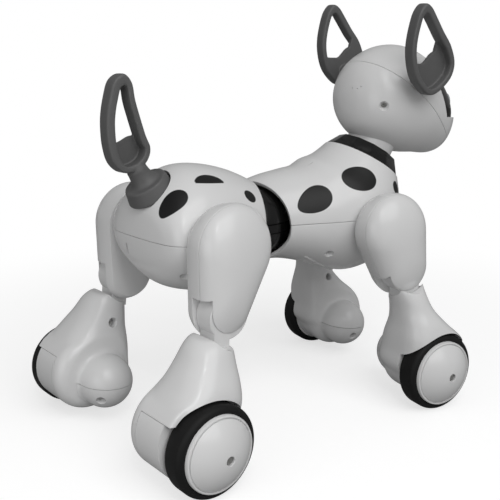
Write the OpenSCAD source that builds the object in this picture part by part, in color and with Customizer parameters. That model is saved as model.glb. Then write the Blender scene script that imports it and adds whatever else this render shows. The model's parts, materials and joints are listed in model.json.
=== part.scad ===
// Robot dog toy on four wheeled feet, standing with its waist turned.
// Frame: +X forward, +Y to the dog's left, +Z up, floor at Z = 0, millimetres.
// The pieces are drawn with the rear axle at X = 0 and moved to the middle of the box at the end.

/* [Wheels] */
// Outside diameter of the rubber tyres
tyre_d = 60; // [57:1:62]
// Width of the tyres
tyre_w = 16.5; // [15:0.5:18]
// Diameter of the white hub disc inside the tyre
hub_d = 50; // [46:1:51]
// How far the domed hub stands out of the tyre
hub_dome = 11.6; // [9:0.2:13]
// Diameter of the screw recess at the middle of the hub dome
hub_recess_d = 5; // [4.5:0.5:7]
// Distance between the outer faces of the rear tyres
rear_track = 199; // [195:1:203]
// Distance between the outer faces of the front tyres
front_track = 184; // [183:1:190]
// Front axle, forward of the waist axis
front_axle_out = 120; // [117:1:123]
// Diameter of the steel axles
axle_d = 6; // [5:0.5:7]

/* [Legs] */
// Distance of the leg joints from the middle of the dog
leg_y = 63; // [62:0.5:65]
// Hip of the hind legs, forward of the rear axle
rear_hip_x = 43; // [40:1:46]
// Height of the hind hips
rear_hip_z = 144; // [141:1:147]
// Hip of the front legs, behind the front axle
front_hip_back = 29; // [26:1:32]
// Height of the front hips
front_hip_z = 139; // [136:1:142]
// Radius of the thigh round the hip
thigh_hip_r = 29; // [26:0.5:31]
// Radius of the thigh round the knee
thigh_knee_r = 18; // [16:0.5:20]
// Reach of the domed side of the thigh from the leg joints
thigh_out = 15; // [14:0.5:17]
// Knee pin behind the axle of the same leg
knee_back = 26; // [23:0.5:29]
// Knee pin above the axle of the same leg
knee_up = 75; // [72:0.5:78]
// Lean of the hind lower legs
rear_lean = -5; // [-8:0.5:-2]
// Lean of the front lower legs
front_lean = 5; // [2:0.5:8]
// Width of the tongue of the lower leg in the knee slot
tongue_w = 15; // [13:0.5:16]
// Diameter of the knee pins
knee_pin_d = 5; // [4:0.5:6]
// Diameter of the hip shafts
hip_shaft_d = 8; // [6:0.5:10]
// Radius of the round gear housing on the inside of the foot
gear_r = 19.5; // [18:0.5:20.5]

/* [Body] */
// Wall of the moulded shells
wall = 2.6; // [2:0.1:3.2]
// Parting gap between two shells
seam = 0.4; // [0.2:0.1:0.8]
// Height of the horizontal parting line of the body
seam_z = 145; // [143:0.5:147]
// Waist axis, forward of the rear axle
waist_x = 106; // [104:0.5:108]
// Turn of the front half at the waist, to the dog's left
waist_turn = -11.6; // [-16:0.2:16]
// Swept-back angle of the rear rim of the waist
rear_rim_angle = 21; // [17:1:25]
// Swept-forward angle of the front rim of the waist
front_rim_angle = 27; // [23:1:31]
// Gap between the two rims on top of the waist
waist_gap = 2; // [1.2:0.2:3]
// Largest half width of the body
body_half_w = 46.5; // [45:0.5:47]
// Largest radius of the waist barrel
barrel_r = 33.5; // [31:0.5:34]
// Reach of the waist barrel above the middle of the waist
barrel_up = 29; // [27:0.5:29.5]
// Reach of the waist barrel below the middle of the waist
barrel_down = 25; // [22:0.5:25.5]
// Thickness of the turning disc between the barrel halves
disc_h = 6; // [4:0.5:8]
// Diameter of the trunnions of the turning disc
trunnion_d = 12; // [9:0.5:15]
// Length of the battery door
door_l = 44; // [36:1:50]
// Width of the battery door
door_w = 30; // [24:1:36]
// Travel of the power switch
switch_travel = 4; // [3:0.5:5]
// Bore of the charging socket
charge_d = 3.6; // [3:0.1:5.5]

/* [Head] */
// Neck axis from upright
neck_tilt = 31.5; // [30:0.5:33]
// Turn of the head about the neck, to the dog's left
head_turn = 6.5; // [-20:0.5:20]
// Radius of the collar where it sits on the body
collar_r = 32.5; // [31:0.5:33.5]
// Radius of the collar at its upper edge
collar_top_r = 25; // [23.5:0.5:27]
// Height of the collar along the neck
collar_h = 11.7; // [10:0.1:13]
// Radius of the neck ring
neck_r = 19; // [18:0.5:20]
// Diameter of the neck post
neck_post_d = 14; // [12:0.5:16]
// Radius of the round eyes
eye_r = 8.5; // [7.5:0.5:9]
// Radius of the nose
nose_r = 6.5; // [5.5:0.5:7.5]

/* [Ears and tail] */
// Height of the leaf-shaped ears
ear_h = 64.5; // [62:0.5:68]
// Width of the ears
ear_w = 46.5; // [43:0.5:49]
// Height of the leaf-shaped tail loop
tail_h = 64; // [60:1:66]
// Width of the tail loop
tail_w = 33; // [30:0.5:35]
// Depth of the ear rims
ear_depth = 9; // [8:0.2:10]
// Depth of the tail rim
tail_depth = 11; // [9.5:0.25:12.5]
// Thickness of the loop rims
loop_rim = 4.6; // [3.8:0.2:5]
// Thickness of the web in the lower part of a loop
web_t = 3; // [2:0.5:4]
// Middle of an ear from the middle of the head
ear_y = 50; // [49:0.5:52]
// Tail skirt radius on the rump
skirt_r = 17; // [16:0.5:18]
// Height of the tail skirt
skirt_h = 21; // [19:0.5:23]
// Lean of the tail stem towards the back
tail_lean = 33; // [28:0.5:38]

/* [Fits] */
// Radial clearance of pins and shafts in their holes
run_gap = 0.05; // [0.02:0.01:0.09]
// Clearance between pieces that move past each other
move_gap = 0.6; // [0.4:0.1:1]
// Clearance round covers and inserts
fit_gap = 0.3; // [0.2:0.05:0.4]

/* [Hidden] */
$fn = 48;
shell_n = 28;
head_n = 24;
cavity_n = 14;
thigh_n = 28;
boot_n = 24;
tyre_r = tyre_d / 2;
front_axle_x = waist_x + front_axle_out;
neck_x = waist_x + 105.7;
neck_z = 182.6;
rump_x = 9.5;
belt_z = 146;
rear_up = 45.4;
rear_down = 45.5;

// Stations along the rear body: distance from the rump, reach up, reach down and half width as shares of the largest
rear_shape = [
  [0, 0.05, 0.05, 0.12], [0.4, 0.2, 0.19, 0.38], [2, 0.42, 0.39, 0.68], [6.5, 0.61, 0.58, 0.89],
  [16, 0.83, 0.79, 0.975], [32, 1, 0.93, 1], [52, 0.99, 1, 0.98], [75, 0.86, 0.9, 0.88], [98, 0.63, 0.73, 0.75]
];
rear_stations = [for (s = rear_shape) [rump_x + s[0], belt_z, rear_up * s[1], rear_down * s[2], body_half_w * s[3]]];
// Stations along the front body: distance from the waist axis, height, tilt, reach up, reach down, share of the half width
front_shape = [
  [-3, 142, 0, 31.5, 29, 0.71], [18, 142, 5, 36.6, 28.5, 0.78], [40, 142, 13, 42, 36, 0.87],
  [64, 145, 25, 46, 54, 0.965], [85, 155, 41, 46.5, 60, 0.99], [98, 168, 53, 39.5, 46, 0.87]
];
front_stations = concat(
  [for (s = front_shape) [waist_x + s[0], s[1], s[2], s[3], s[4], body_half_w * s[5]]],
  [[neck_x, neck_z, 90 - neck_tilt, collar_r, collar_r, collar_r]]);
// Stations along the head: distance from the neck axis, height over its foot, reach up, reach down, half width
head_shape = [
  [-19.5, 51, 3, 3, 4], [-18, 51, 12, 12, 13], [-13, 51, 23, 23, 24], [-3, 51, 33, 32.5, 33], [14, 50, 41, 39.5, 38.7],
  [34, 48, 43, 41.5, 39.5], [53, 44.5, 38.5, 38.5, 36], [69, 39, 29.5, 32, 29.5], [79, 34, 18.5, 22, 19], [83.5, 31.5, 5, 6, 5]
];
head_stations = [for (s = head_shape) [neck_x + s[0], neck_z + s[1], s[2], s[3], s[4]]];
// Stations up the shin from its axle: height, distance back, half length, distance out, half width, squareness
shin_foot = [
  [-14, 2, 17, 3, 16, 3], [0, -1, 27, 3, 22, 4], [13, -0.5, 28, 4, 23.5, 4], [25, -3, 26, 6, 24.5, 3.4]
];
shin_top_rear = [
  [36, -7, 22, 6.5, 22, 2.7], [47, -10.5, 18, 4.5, 18.5, 2.4], [58, -13.5, 15, 3, 15, 2.2], [67, -17.5, 10.5, 0, 12, 2.2]
];
shin_top_front = [
  [36, -10, 19, 6.5, 21.5, 2.7], [47, -16.5, 14, 4.5, 17.5, 2.4], [58, -21.5, 12, 3, 14.5, 2.2], [68, -25, 11.5, 0, 12, 2.2]
];
// Drum of the foot beside its wheel: distance back and height from the axle, radius, rounding of its inner edge
drum_x = 2.5;
drum_z = 4.5;
drum_r = 27.5;
drum_round = 9;

// Smooth curve through a list of stations
function held(list, i) = list[min(max(i, 0), len(list) - 1)];
function through(p0, p1, p2, p3, t) =
  0.5 * (2 * p1 + (p2 - p0) * t + (2 * p0 - 5 * p1 + 4 * p2 - p3) * t * t + (3 * p1 - p0 - 3 * p2 + p3) * t * t * t);
function along(list, u) =
  let (i = min(floor(u), len(list) - 2))
  through(held(list, i - 1), list[i], list[i + 1], held(list, i + 2), u - i);
function steps(list, per) = [for (i = [0:(len(list) - 1) * per]) along(list, i / per)];

// Closed smooth curve through a ring of points
function round_curve(points, per) =
  let (n = len(points))
  [for (i = [0:n - 1]) for (k = [0:per - 1])
    through(points[(i + n - 1) % n], points[i], points[(i + 1) % n], points[(i + 2) % n], k / per)];

// Rings of points of the lofted pieces
function body_ring(s, inset, n) =
  [for (i = [0:n - 1]) let (c = cos(360 * i / n), v = sin(360 * i / n))
    [s[0], max(s[4] - inset, 1) * c, s[1] + max((v > 0 ? s[2] : s[3]) - inset, 1) * v]];
function bent_ring(s, inset, n) =
  [for (i = [0:n - 1])
    let (c = cos(360 * i / n), v = sin(360 * i / n), r = max((v > 0 ? s[3] : s[4]) - inset, 1) * v)
    [s[0] - r * sin(s[2]), max(s[5] - inset, 1) * c, s[1] + r * cos(s[2])]];
function squared(v, squareness) = sign(v) * pow(abs(v), 2 / squareness);
function shin_ring(s, n) =
  [for (i = [0:n - 1])
    [s[1] + s[2] * squared(cos(360 * i / n), s[5]), s[3] + s[4] * squared(sin(360 * i / n), s[5]), s[0]]];

// Skin over a list of rings with the same number of points, closed by flat ends
module skin(rings) {
  n = len(rings[0]);
  last = len(rings) - 1;
  sides = [for (k = [0:last - 1]) for (i = [0:n - 1])
    let (j = (i + 1) % n, a = k * n, b = (k + 1) * n) each [[a + i, b + i, b + j], [a + i, b + j, a + j]]];
  polyhedron([for (r = rings) each r],
    concat([[for (i = [0:n - 1]) i]], sides, [[for (i = [n - 1:-1:0]) last * n + i]]), convexity = 8);
}

// Skin round a closed path of rings
module ring_skin(rings) {
  n = len(rings[0]);
  m = len(rings);
  polyhedron([for (r = rings) each r],
    [for (k = [0:m - 1]) for (i = [0:n - 1])
      let (j = (i + 1) % n, a = k * n, b = ((k + 1) % m) * n) each [[a + i, b + i, b + j], [a + i, b + j, a + j]]],
    convexity = 8);
}

// Round bar along Y between two places
module bar_y(r, y0, y1) {
  translate([0, y0, 0])
    rotate([-90, 0, 0])
      cylinder(r = r, h = y1 - y0);
}

// Places of the moving halves
module front_half() {
  translate([waist_x, 0, 0])
    rotate([0, 0, waist_turn])
      translate([-waist_x, 0, 0])
        children();
}

module at_neck() {
  translate([neck_x, 0, neck_z])
    rotate([0, neck_tilt, 0])
      children();
}

module head_half() {
  front_half()
    at_neck()
      rotate([0, 0, head_turn])
        rotate([0, -neck_tilt, 0])
          translate([-neck_x, 0, -neck_z])
            children();
}

// Middle of the box of the whole dog, from its outermost points
function turned(p, a) = [p[0] * cos(a) - p[1] * sin(a), p[0] * sin(a) + p[1] * cos(a), p[2]];
function tilted(p, a) = [p[0] * cos(a) + p[2] * sin(a), p[1], p[2] * cos(a) - p[0] * sin(a)];
function from_waist(p) = turned(p - [waist_x, 0, 0], waist_turn) + [waist_x, 0, 0];
neck_foot = [neck_x, 0, neck_z];
function from_neck(p) =
  from_waist(neck_foot + tilted(turned(tilted(p - neck_foot, -neck_tilt), head_turn), neck_tilt));
dome_r = (pow(hub_d / 2, 2) + pow(hub_dome, 2)) / (2 * hub_dome);
dome_in = dome_r - hub_dome;
rear_side = rear_track / 2 - dome_in + sqrt(pow(dome_r, 2) - pow(hub_recess_d / 2, 2));
front_left = from_waist([front_axle_x, front_track / 2 - dome_in, 0])[1] + dome_r;
front_right = from_waist([front_axle_x, dome_in - front_track / 2, 0])[1] - dome_r;
head_front = max([for (s = steps(head_stations, 2)) for (p = body_ring(s, 0, head_n)) from_neck(p)[0]]);
heel_back = tilted([drum_x, 0, drum_z], rear_lean)[0] + drum_r;
centre_x = (head_front - max(heel_back, tyre_r)) / 2;
centre_y = (max(rear_side, front_left) + min(-rear_side, front_right)) / 2;

module placed() {
  translate([-centre_x, -centre_y, 0])
    children();
}

// Legs: name, front or rear, side of the dog
LEGS = [["left_rear", false, 1], ["right_rear", false, -1], ["left_front", true, 1], ["right_front", true, -1]];
LEG_PIECES = ["tyre", "hub", "axle", "boot", "heel_cap", "gear_cap", "knee_pin", "thigh_inner", "thigh_outer"];

function axle_x(leg) = leg[1] ? front_axle_x : 0;
function half_track(leg) = (leg[1] ? front_track : rear_track) / 2;
function lean(leg) = leg[1] ? front_lean : rear_lean;
function hip_at(leg) = leg[1] ? [front_axle_x - front_hip_back, front_hip_z] : [rear_hip_x, rear_hip_z];
// The lower legs flare to the back on the hind legs and to the front on the front legs
function flare(leg) = leg[1] ? 1 : -1;
function shin_stations(leg) = concat(shin_foot, leg[1] ? shin_top_front : shin_top_rear);
function knee_at(leg) =
  let (a = lean(leg), x = -knee_back * cos(a) + knee_up * sin(a), z = knee_back * sin(a) + knee_up * cos(a))
  [axle_x(leg) + flare(leg) * x, tyre_r + z];

module at_leg(leg) {
  if (leg[1]) front_half() scale_side(leg[2]) children();
  else scale_side(leg[2]) children();
}
module scale_side(side) {
  if (side > 0) children();
  else mirror([0, 1, 0]) children();
}
module at_axle(leg) {
  at_leg(leg)
    translate([axle_x(leg), leg_y, tyre_r])
      children();
}
module at_boot(leg) {
  at_axle(leg)
    if (leg[1]) rotate([0, lean(leg), 0]) children();
    else mirror([1, 0, 0]) rotate([0, lean(leg), 0]) children();
}
module at_hip(leg) {
  at_leg(leg)
    translate([hip_at(leg)[0], leg_y, hip_at(leg)[1]])
      children();
}

// Wheels
tyre_round = 4;
recess_depth = 3;
screw_r = 1.4;
screw_head_h = 1.6;
axle_end_gap = 1;
hub_face = 4;
axle_in = -4;
function wheel_out(leg) = half_track(leg) - leg_y;

module tyre(leg) {
  color([0.05, 0.05, 0.05])
    at_axle(leg)
      translate([0, wheel_out(leg), 0])
        rotate([90, 0, 0])
          rotate_extrude($fn = 72)
            difference() {
              union() {
                square([tyre_r - tyre_round, tyre_w]);
                translate([0, tyre_round])
                  square([tyre_r, tyre_w - 2 * tyre_round]);
                for (y = [tyre_round, tyre_w - tyre_round])
                  translate([tyre_r - tyre_round, y])
                    circle(r = tyre_round);
              }
              square([hub_d / 2, tyre_w]);
            }
}

module hub(leg) {
  color("white")
    at_axle(leg)
      translate([0, wheel_out(leg), 0])
        rotate([-90, 0, 0])
          difference() {
            union() {
              intersection() {
                translate([0, 0, -dome_in])
                  sphere(r = dome_r, $fn = 96);
                cylinder(d = hub_d, h = hub_dome + 1);
              }
              translate([0, 0, -tyre_w])
                cylinder(d = hub_d, h = tyre_w);
            }
            translate([0, 0, -tyre_w - 1])
              cylinder(d = axle_d + 2 * run_gap, h = tyre_w + 1);
            cylinder(r = screw_r + run_gap, h = hub_dome);
            translate([0, 0, hub_dome - recess_depth])
              cylinder(d = hub_recess_d, h = recess_depth + 1);
            translate([0, 0, -tyre_w - 1])
              difference() {
                cylinder(r = hub_d / 2 - wall, h = tyre_w - hub_face + 1);
                cylinder(r = axle_d / 2 + wall, h = tyre_w);
              }
          }
}

// Axle with the screw that holds the hub
module axle(leg) {
  end = wheel_out(leg);
  seat = end + hub_dome - recess_depth;
  color("silver")
    at_axle(leg) {
      bar_y(axle_d / 2, axle_in, end - axle_end_gap);
      bar_y(screw_r, end - axle_end_gap - 1, seat + 1);
      bar_y(hub_recess_d / 2 - fit_gap, seat + run_gap, seat + run_gap + screw_head_h);
    }
}

// Lower legs
arch_r = tyre_r + 1.5;
boot_in = leg_y - 46;
gear_ahead = 3;
gear_y = -22;
gear_room_end = -9;
gear_screw_turn = -43;
recess_r = 2.5;
recess_cut = 2;
heel_x = 13;
heel_top = 19;
heel_in = -6;
tongue_r = 15.5;
shank_front = 5.5;
shank_back = 11.5;
shank_foot = 23;
knee_swing = 20;
shin_recess_z = 36;

function wheel_face(leg) = wheel_out(leg) - tyre_w - move_gap;

// Drum beside the wheel, up to a place along the axle
module drum(leg) {
  translate([drum_x, 0, drum_z])
    rotate([-90, 0, 0])
      translate([0, 0, -boot_in])
        rotate_extrude()
          difference() {
            square([drum_r, boot_in + wheel_face(leg)]);
            difference() {
              translate([drum_r - drum_round, 0])
                square(drum_round);
              translate([drum_r - drum_round, drum_round])
                circle(r = drum_round);
            }
          }
}

module shin(leg) {
  difference() {
    skin([for (s = steps(shin_stations(leg), 2)) shin_ring(s, boot_n)]);
    bar_y(arch_r, wheel_face(leg), leg_y);
    translate([-100, -100, -100])
      cube([200, 100 - boot_in, 200]);
  }
}

// Round gear housing on the inside of the foot
module gear_body(leg, r, y_end) {
  translate([flare(leg) * gear_ahead, gear_y, 0])
    rotate([-90, 0, 0])
      rotate_extrude()
        union() {
          square([r, y_end - gear_y]);
          intersection() {
            circle(r = r);
            translate([0, -r])
              square([r, r]);
          }
        }
}

module knee_place() {
  translate([-knee_back, 0, knee_up])
    children();
}

module heel_block(gap) {
  translate([heel_x + gap, heel_in + gap, -100])
    cube([100, 100, 100 + heel_top - gap]);
}

// Tongue of the lower leg in the fork of the thigh
module tongue() {
  knee_place() {
    bar_y(tongue_r, -tongue_w / 2, tongue_w / 2);
    translate([-shank_front, -tongue_w / 2, -shank_foot])
      cube([shank_front + shank_back, tongue_w, shank_foot]);
  }
}

module boot(leg) {
  color("white")
    at_boot(leg)
      difference() {
        union() {
          difference() {
            union() {
              shin(leg);
              drum(leg);
            }
            knee_place()
              bar_y(thigh_knee_r + move_gap, -leg_y, leg_y);
          }
          difference() {
            gear_body(leg, gear_r, 1 - boot_in);
            below(seam / 2);
          }
          tongue();
        }
        heel_block(0);
        gear_body(leg, gear_r - wall, gear_room_end);
        knee_place()
          bar_y(knee_pin_d / 2 + run_gap, -tongue_w, tongue_w);
        bar_y(axle_d / 2 + run_gap, axle_in - run_gap, leg_y);
        translate([-knee_back / 2, 0, shin_recess_z])
          bar_y(recess_r, -leg_y, recess_cut - boot_in + wall);
      }
}

module heel_cap(leg) {
  color("white")
    at_boot(leg)
      difference() {
        intersection() {
          drum(leg);
          heel_block(seam);
        }
        bar_y(axle_d / 2 + run_gap, axle_in - run_gap, leg_y);
      }
}

module gear_cap(leg) {
  color("white")
    at_boot(leg)
      difference() {
        intersection() {
          gear_body(leg, gear_r, -boot_in - seam);
          below(-seam / 2);
        }
        gear_body(leg, gear_r - wall, gear_room_end);
        translate([flare(leg) * gear_ahead, gear_y, 0])
          rotate([gear_screw_turn, 0, 0])
            translate([0, 0, -gear_r - 1])
              cylinder(r = recess_r, h = recess_cut + 1);
      }
}

// Thighs: flat to the body and domed to the outside, split down the middle
hip_gap = 1;
thigh_in = leg_y - body_half_w - hip_gap;
thigh_wide = -3;
thigh_full_in = 26;
thigh_levels_out = [0, 0.25, 0.5, 0.72, 0.88, 0.97];
thigh_levels_in = [-thigh_in, -thigh_in / 2, thigh_wide, 0];
hip_room_r = 17;
hip_boss_r = 11;
pin_seat = 3;
slot_spare = 4;
slot_run = 50;
slot_facets = 12;
function pillow(t) = pow(1 - pow(abs(t), 2.3), 1 / 2.3);
function thigh_size(y) = pillow((y - thigh_wide) / (y > thigh_wide ? thigh_out - thigh_wide : thigh_full_in));

function thigh_ring(leg, size, y) =
  let (hip = hip_at(leg), knee = knee_at(leg), k = [knee[0] - hip[0], knee[1] - hip[1]], middle = 0.35 * k)
  [for (i = [0:thigh_n - 1])
    let (
      n = [sin(360 * i / thigh_n), cos(360 * i / thigh_n)],
      low = k * n + thigh_knee_r > thigh_hip_r,
      edge = low ? k + thigh_knee_r * n : thigh_hip_r * n,
      p = middle + (edge - middle) * size
    )
    [p[0], y, p[1]]];

module thigh_half(leg, outer) {
  levels = outer ? [for (t = thigh_levels_out) seam / 2 + t * (thigh_out - seam / 2)]
    : [for (y = thigh_levels_in) min(y, -seam / 2)];
  skin([for (y = levels) thigh_ring(leg, thigh_size(y), y)]);
}

module at_knee(leg) {
  translate([knee_at(leg)[0] - hip_at(leg)[0], 0, knee_at(leg)[1] - hip_at(leg)[1]])
    children();
}

// Fork for the tongue over its whole swing, open to the back on the hind legs
module knee_slot(leg) {
  half = tongue_w / 2 + move_gap;
  reach = tongue_r + move_gap;
  swing = knee_swing + slot_spare;
  first = flare(leg) * lean(leg) - swing;
  last = flare(leg) * lean(leg) + (leg[1] ? swing : 3 * swing);
  arc = 180 - last + first;
  at_knee(leg)
    translate([0, half, 0])
      rotate([90, 0, 0])
        linear_extrude(height = 2 * half)
          polygon(concat(
            [reach * [cos(first), -sin(first)] - slot_run * [sin(first), cos(first)]],
            [for (t = [0:slot_facets]) reach * [cos(t / slot_facets * arc - first), sin(t / slot_facets * arc - first)]],
            [reach * [-cos(last), sin(last)] - slot_run * [sin(last), cos(last)]]));
}

module thigh_inner(leg) {
  color("white")
    at_hip(leg)
      difference() {
        thigh_half(leg, false);
        difference() {
          bar_y(hip_room_r, wall - thigh_in, 1);
          bar_y(hip_boss_r, -thigh_in, 1);
        }
        bar_y(hip_shaft_d / 2 + run_gap, -thigh_in - 1, 1);
        knee_slot(leg);
        at_knee(leg)
          bar_y(knee_pin_d / 2 + run_gap, -tongue_w / 2 - pin_seat, 1);
      }
}

module thigh_outer(leg) {
  color("white")
    at_hip(leg)
      difference() {
        thigh_half(leg, true);
        bar_y(hip_room_r, -1, thigh_out / 2);
        knee_slot(leg);
        at_knee(leg)
          bar_y(knee_pin_d / 2 + run_gap, -1, tongue_w / 2 + pin_seat);
      }
}

module knee_pin(leg) {
  length = tongue_w / 2 + pin_seat - run_gap;
  color("silver")
    at_hip(leg)
      at_knee(leg)
        bar_y(knee_pin_d / 2, -length, length);
}

// Shafts through the body that carry the thighs
shaft_head_r = 8;
shaft_head_t = 3;
module hip_shaft(hip) {
  translate([hip[0], 0, hip[1]]) {
    bar_y(hip_shaft_d / 2, -leg_y - 1, leg_y + 1);
    for (side = [-1, 1])
      translate([0, side * (leg_y + fit_gap + shaft_head_t / 2), 0])
        bar_y(shaft_head_r, -shaft_head_t / 2, shaft_head_t / 2);
  }
}

module rear_hip_shaft() {
  color("silver")
    hip_shaft(hip_at(LEGS[0]));
}

module front_hip_shaft() {
  color("silver")
    front_half()
      hip_shaft(hip_at(LEGS[2]));
}

// Rear body
bulkhead_x = waist_x - 22;
bulkhead_t = 3;
waist_z = 143;
module rear_form() {
  skin([for (s = steps(rear_stations, 2)) body_ring(s, 0, shell_n)]);
}

module rear_room(inset) {
  skin([for (s = rear_stations) body_ring(s, inset, cavity_n)]);
}

module below(z) {
  translate([-500, -500, z - 1000])
    cube([1000, 1000, 1000]);
}

// Space that a waist rim leaves open
module waist_wedge(edge, angle) {
  reach = 100;
  sweep = reach * tan(angle);
  away = -3 * sign(edge) * reach;
  translate([waist_x, 0, 0])
    linear_extrude(height = 3 * reach)
      polygon([[edge, 0], [edge + sign(edge) * sweep, reach], [away, reach], [away, -reach],
        [edge + sign(edge) * sweep, -reach]]);
}

module slab_x(x, t) {
  translate([x, -100, 0])
    cube([t, 200, 300]);
}

// Slot of the turning disc through the bulkhead of the rear body
module disc_slot() {
  h = disc_h + 2 * move_gap;
  translate([waist_x, 0, waist_z - h / 2])
    cylinder(r = barrel_r + 1, h = h);
}

module rear_shell() {
  difference() {
    rear_form();
    difference() {
      rear_room(wall);
      slab_x(bulkhead_x, bulkhead_t);
    }
    waist_wedge(-waist_gap / 2, rear_rim_angle);
    intersection() {
      disc_slot();
      slab_x(bulkhead_x - 1, bulkhead_t + 2);
    }
    translate([rear_hip_x, 0, rear_hip_z])
      bar_y(hip_shaft_d / 2 + run_gap, -leg_y, leg_y);
  }
}

module rear_upper_shell() {
  color("white")
    difference() {
      rear_shell();
      below(seam_z + seam / 2);
      tail_place() {
        translate([0, 0, -peg_l - 1])
          cylinder(r = peg_r + run_gap, h = 2 * peg_l);
        translate([0, 0, -fit_gap])
          cylinder(r = skirt_r + fit_gap, h = 2 * skirt_h);
      }
    }
}

door_x = 52;
pad_x = door_x + door_l / 2 + 5;
pad_z = 112;
pad_y = 11;
pad_half_w = 7;
socket_face_z = 107;
switch_w = 5;
switch_flange = 1.5;
switch_foot_z = 103;
module door_column(gap) {
  translate([door_x - door_l / 2 - gap, -door_w / 2 - gap, 60])
    cube([door_l + 2 * gap, door_w + 2 * gap, 60]);
}

// Flat pads inside the belly for the power switch and the charging socket
module belly_pads() {
  intersection() {
    rear_room(wall / 2);
    for (y = [-pad_y, pad_y])
      translate([pad_x - switch_w / 2 - 1, y - pad_half_w, 60])
        cube([switch_w + 2, 2 * pad_half_w, pad_z - 60]);
  }
}

module rear_lower_shell() {
  color("white")
    difference() {
      union() {
        intersection() {
          rear_shell();
          below(seam_z - seam / 2);
        }
        belly_pads();
      }
      door_column(fit_gap);
      translate([pad_x, -pad_y, 60]) {
        cylinder(d = charge_d, h = 60);
        cylinder(d = charge_d + 2, h = socket_face_z - 60);
      }
      translate([pad_x - switch_w / 4 - fit_gap, pad_y - switch_w / 2 - fit_gap - switch_travel / 2, 60])
        cube([switch_w / 2 + 2 * fit_gap, switch_w + 2 * fit_gap + switch_travel, 60]);
    }
}

module power_switch() {
  color("dimgray")
    translate([pad_x, pad_y - switch_travel / 2, 0]) {
      translate([-switch_w / 4, -switch_w / 2, switch_foot_z])
        cube([switch_w / 2, switch_w, pad_z + fit_gap + 1 - switch_foot_z]);
      translate([-switch_w / 2, -switch_w / 2 - 1, pad_z + fit_gap])
        cube([switch_w, switch_w + 2, switch_flange]);
    }
}

battery_z = 111;
battery_h = 18;
tray_z = 108;
rib_t = 2.5;
module battery_door() {
  cell = (door_l - 4 * rib_t) / 3;
  color("white")
    difference() {
      intersection() {
        door_column(0);
        rear_form();
        below(battery_z);
      }
      intersection() {
        rear_room(wall);
        for (i = [0:2])
          translate([door_x - door_l / 2 + rib_t + i * (cell + rib_t), rib_t - door_w / 2, tray_z])
            cube([cell, door_w - 2 * rib_t, battery_z]);
      }
    }
}

module battery_pack() {
  color("dodgerblue")
    translate([door_x - door_l / 2 + 2, 2 - door_w / 2, battery_z])
      cube([door_l - 4, door_w - 4, battery_h]);
}

board_t = 1.6;
module main_board() {
  color("darkgreen")
    translate([bulkhead_x - board_t, -18, 150])
      cube([board_t, 36, 24]);
}

// Waist
trunnion_l = 14;
barrel_levels = [0, 0.3, 0.55, 0.75, 0.88, 0.96];
function barrel_profile(z, reach) = barrel_r * pow(1 - pow(z / reach, 2.1), 1 / 2.1);

module barrel_half(reach, side) {
  start = disc_h / 2 + fit_gap;
  heights = [for (t = barrel_levels) start + t * (reach - start)];
  top = heights[len(heights) - 1];
  translate([waist_x, 0, waist_z])
    mirror([0, 0, side > 0 ? 0 : 1])
      difference() {
        rotate_extrude($fn = 96)
          polygon(concat([[0, start]], [for (z = heights) [barrel_profile(z, reach), z]], [[0, top]]));
        cylinder(d = trunnion_d + 2 * run_gap, h = disc_h / 2 + trunnion_l + 1);
        translate([bulkhead_x + bulkhead_t - waist_x - 100, -100, 0])
          cube([100, 200, 100]);
      }
}

module waist_barrel_upper() {
  color([0.06, 0.06, 0.06])
    barrel_half(barrel_up, 1);
}

module waist_barrel_lower() {
  color([0.06, 0.06, 0.06])
    barrel_half(barrel_down, -1);
}

front_bulkhead_x = waist_x + 36;
arm_w = 28;
module waist_disc() {
  color([0.06, 0.06, 0.06])
    front_half()
      translate([waist_x, 0, waist_z]) {
        translate([0, 0, -disc_h / 2]) {
          cylinder(r = barrel_profile(disc_h / 2, barrel_down), h = disc_h, $fn = 96);
          translate([0, -arm_w / 2, 0])
            cube([front_bulkhead_x - waist_x, arm_w, disc_h]);
        }
        translate([0, 0, -disc_h / 2 - trunnion_l])
          cylinder(d = trunnion_d, h = disc_h + 2 * trunnion_l);
      }
}

// Front body
chest_recess = [51, 120, 34];
module front_form() {
  skin([for (s = steps(front_stations, 2)) bent_ring(s, 0, shell_n)]);
}

module front_room() {
  skin([for (s = front_stations) bent_ring(s, wall, cavity_n)]);
}

module front_shell() {
  difference() {
    front_form();
    difference() {
      front_room();
      slab_x(front_bulkhead_x, bulkhead_t);
      at_neck()
        translate([0, 0, -wall])
          cylinder(r = 2 * collar_r, h = 2 * collar_r);
    }
    waist_wedge(waist_gap / 2, front_rim_angle);
    translate([front_axle_x - front_hip_back, 0, front_hip_z])
      bar_y(hip_shaft_d / 2 + run_gap, -leg_y, leg_y);
    at_neck()
      translate([0, 0, -2 * wall])
        cylinder(d = neck_post_d + 2 * run_gap, h = 4 * wall);
  }
}

module front_upper_shell() {
  color("white")
    front_half()
      difference() {
        front_shell();
        below(seam_z + seam / 2);
      }
}

module front_lower_shell() {
  color("white")
    front_half()
      difference() {
        intersection() {
          front_shell();
          below(seam_z - seam / 2);
        }
        for (side = [-1, 1])
          scale_side(side)
            translate([waist_x + chest_recess[0], 0, chest_recess[1]])
              bar_y(recess_r + 1, chest_recess[2], leg_y);
      }
}

// Collar and neck
neck_ring_h = 28;
post_flange = 3;
post_top = 16;
module collar() {
  color([0.04, 0.04, 0.04])
    front_half()
      at_neck()
        difference() {
          cylinder(r1 = collar_r, r2 = collar_top_r, h = collar_h, $fn = 12);
          translate([0, 0, -1])
            cylinder(r = neck_r + move_gap, h = collar_h + 2);
        }
}

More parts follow.
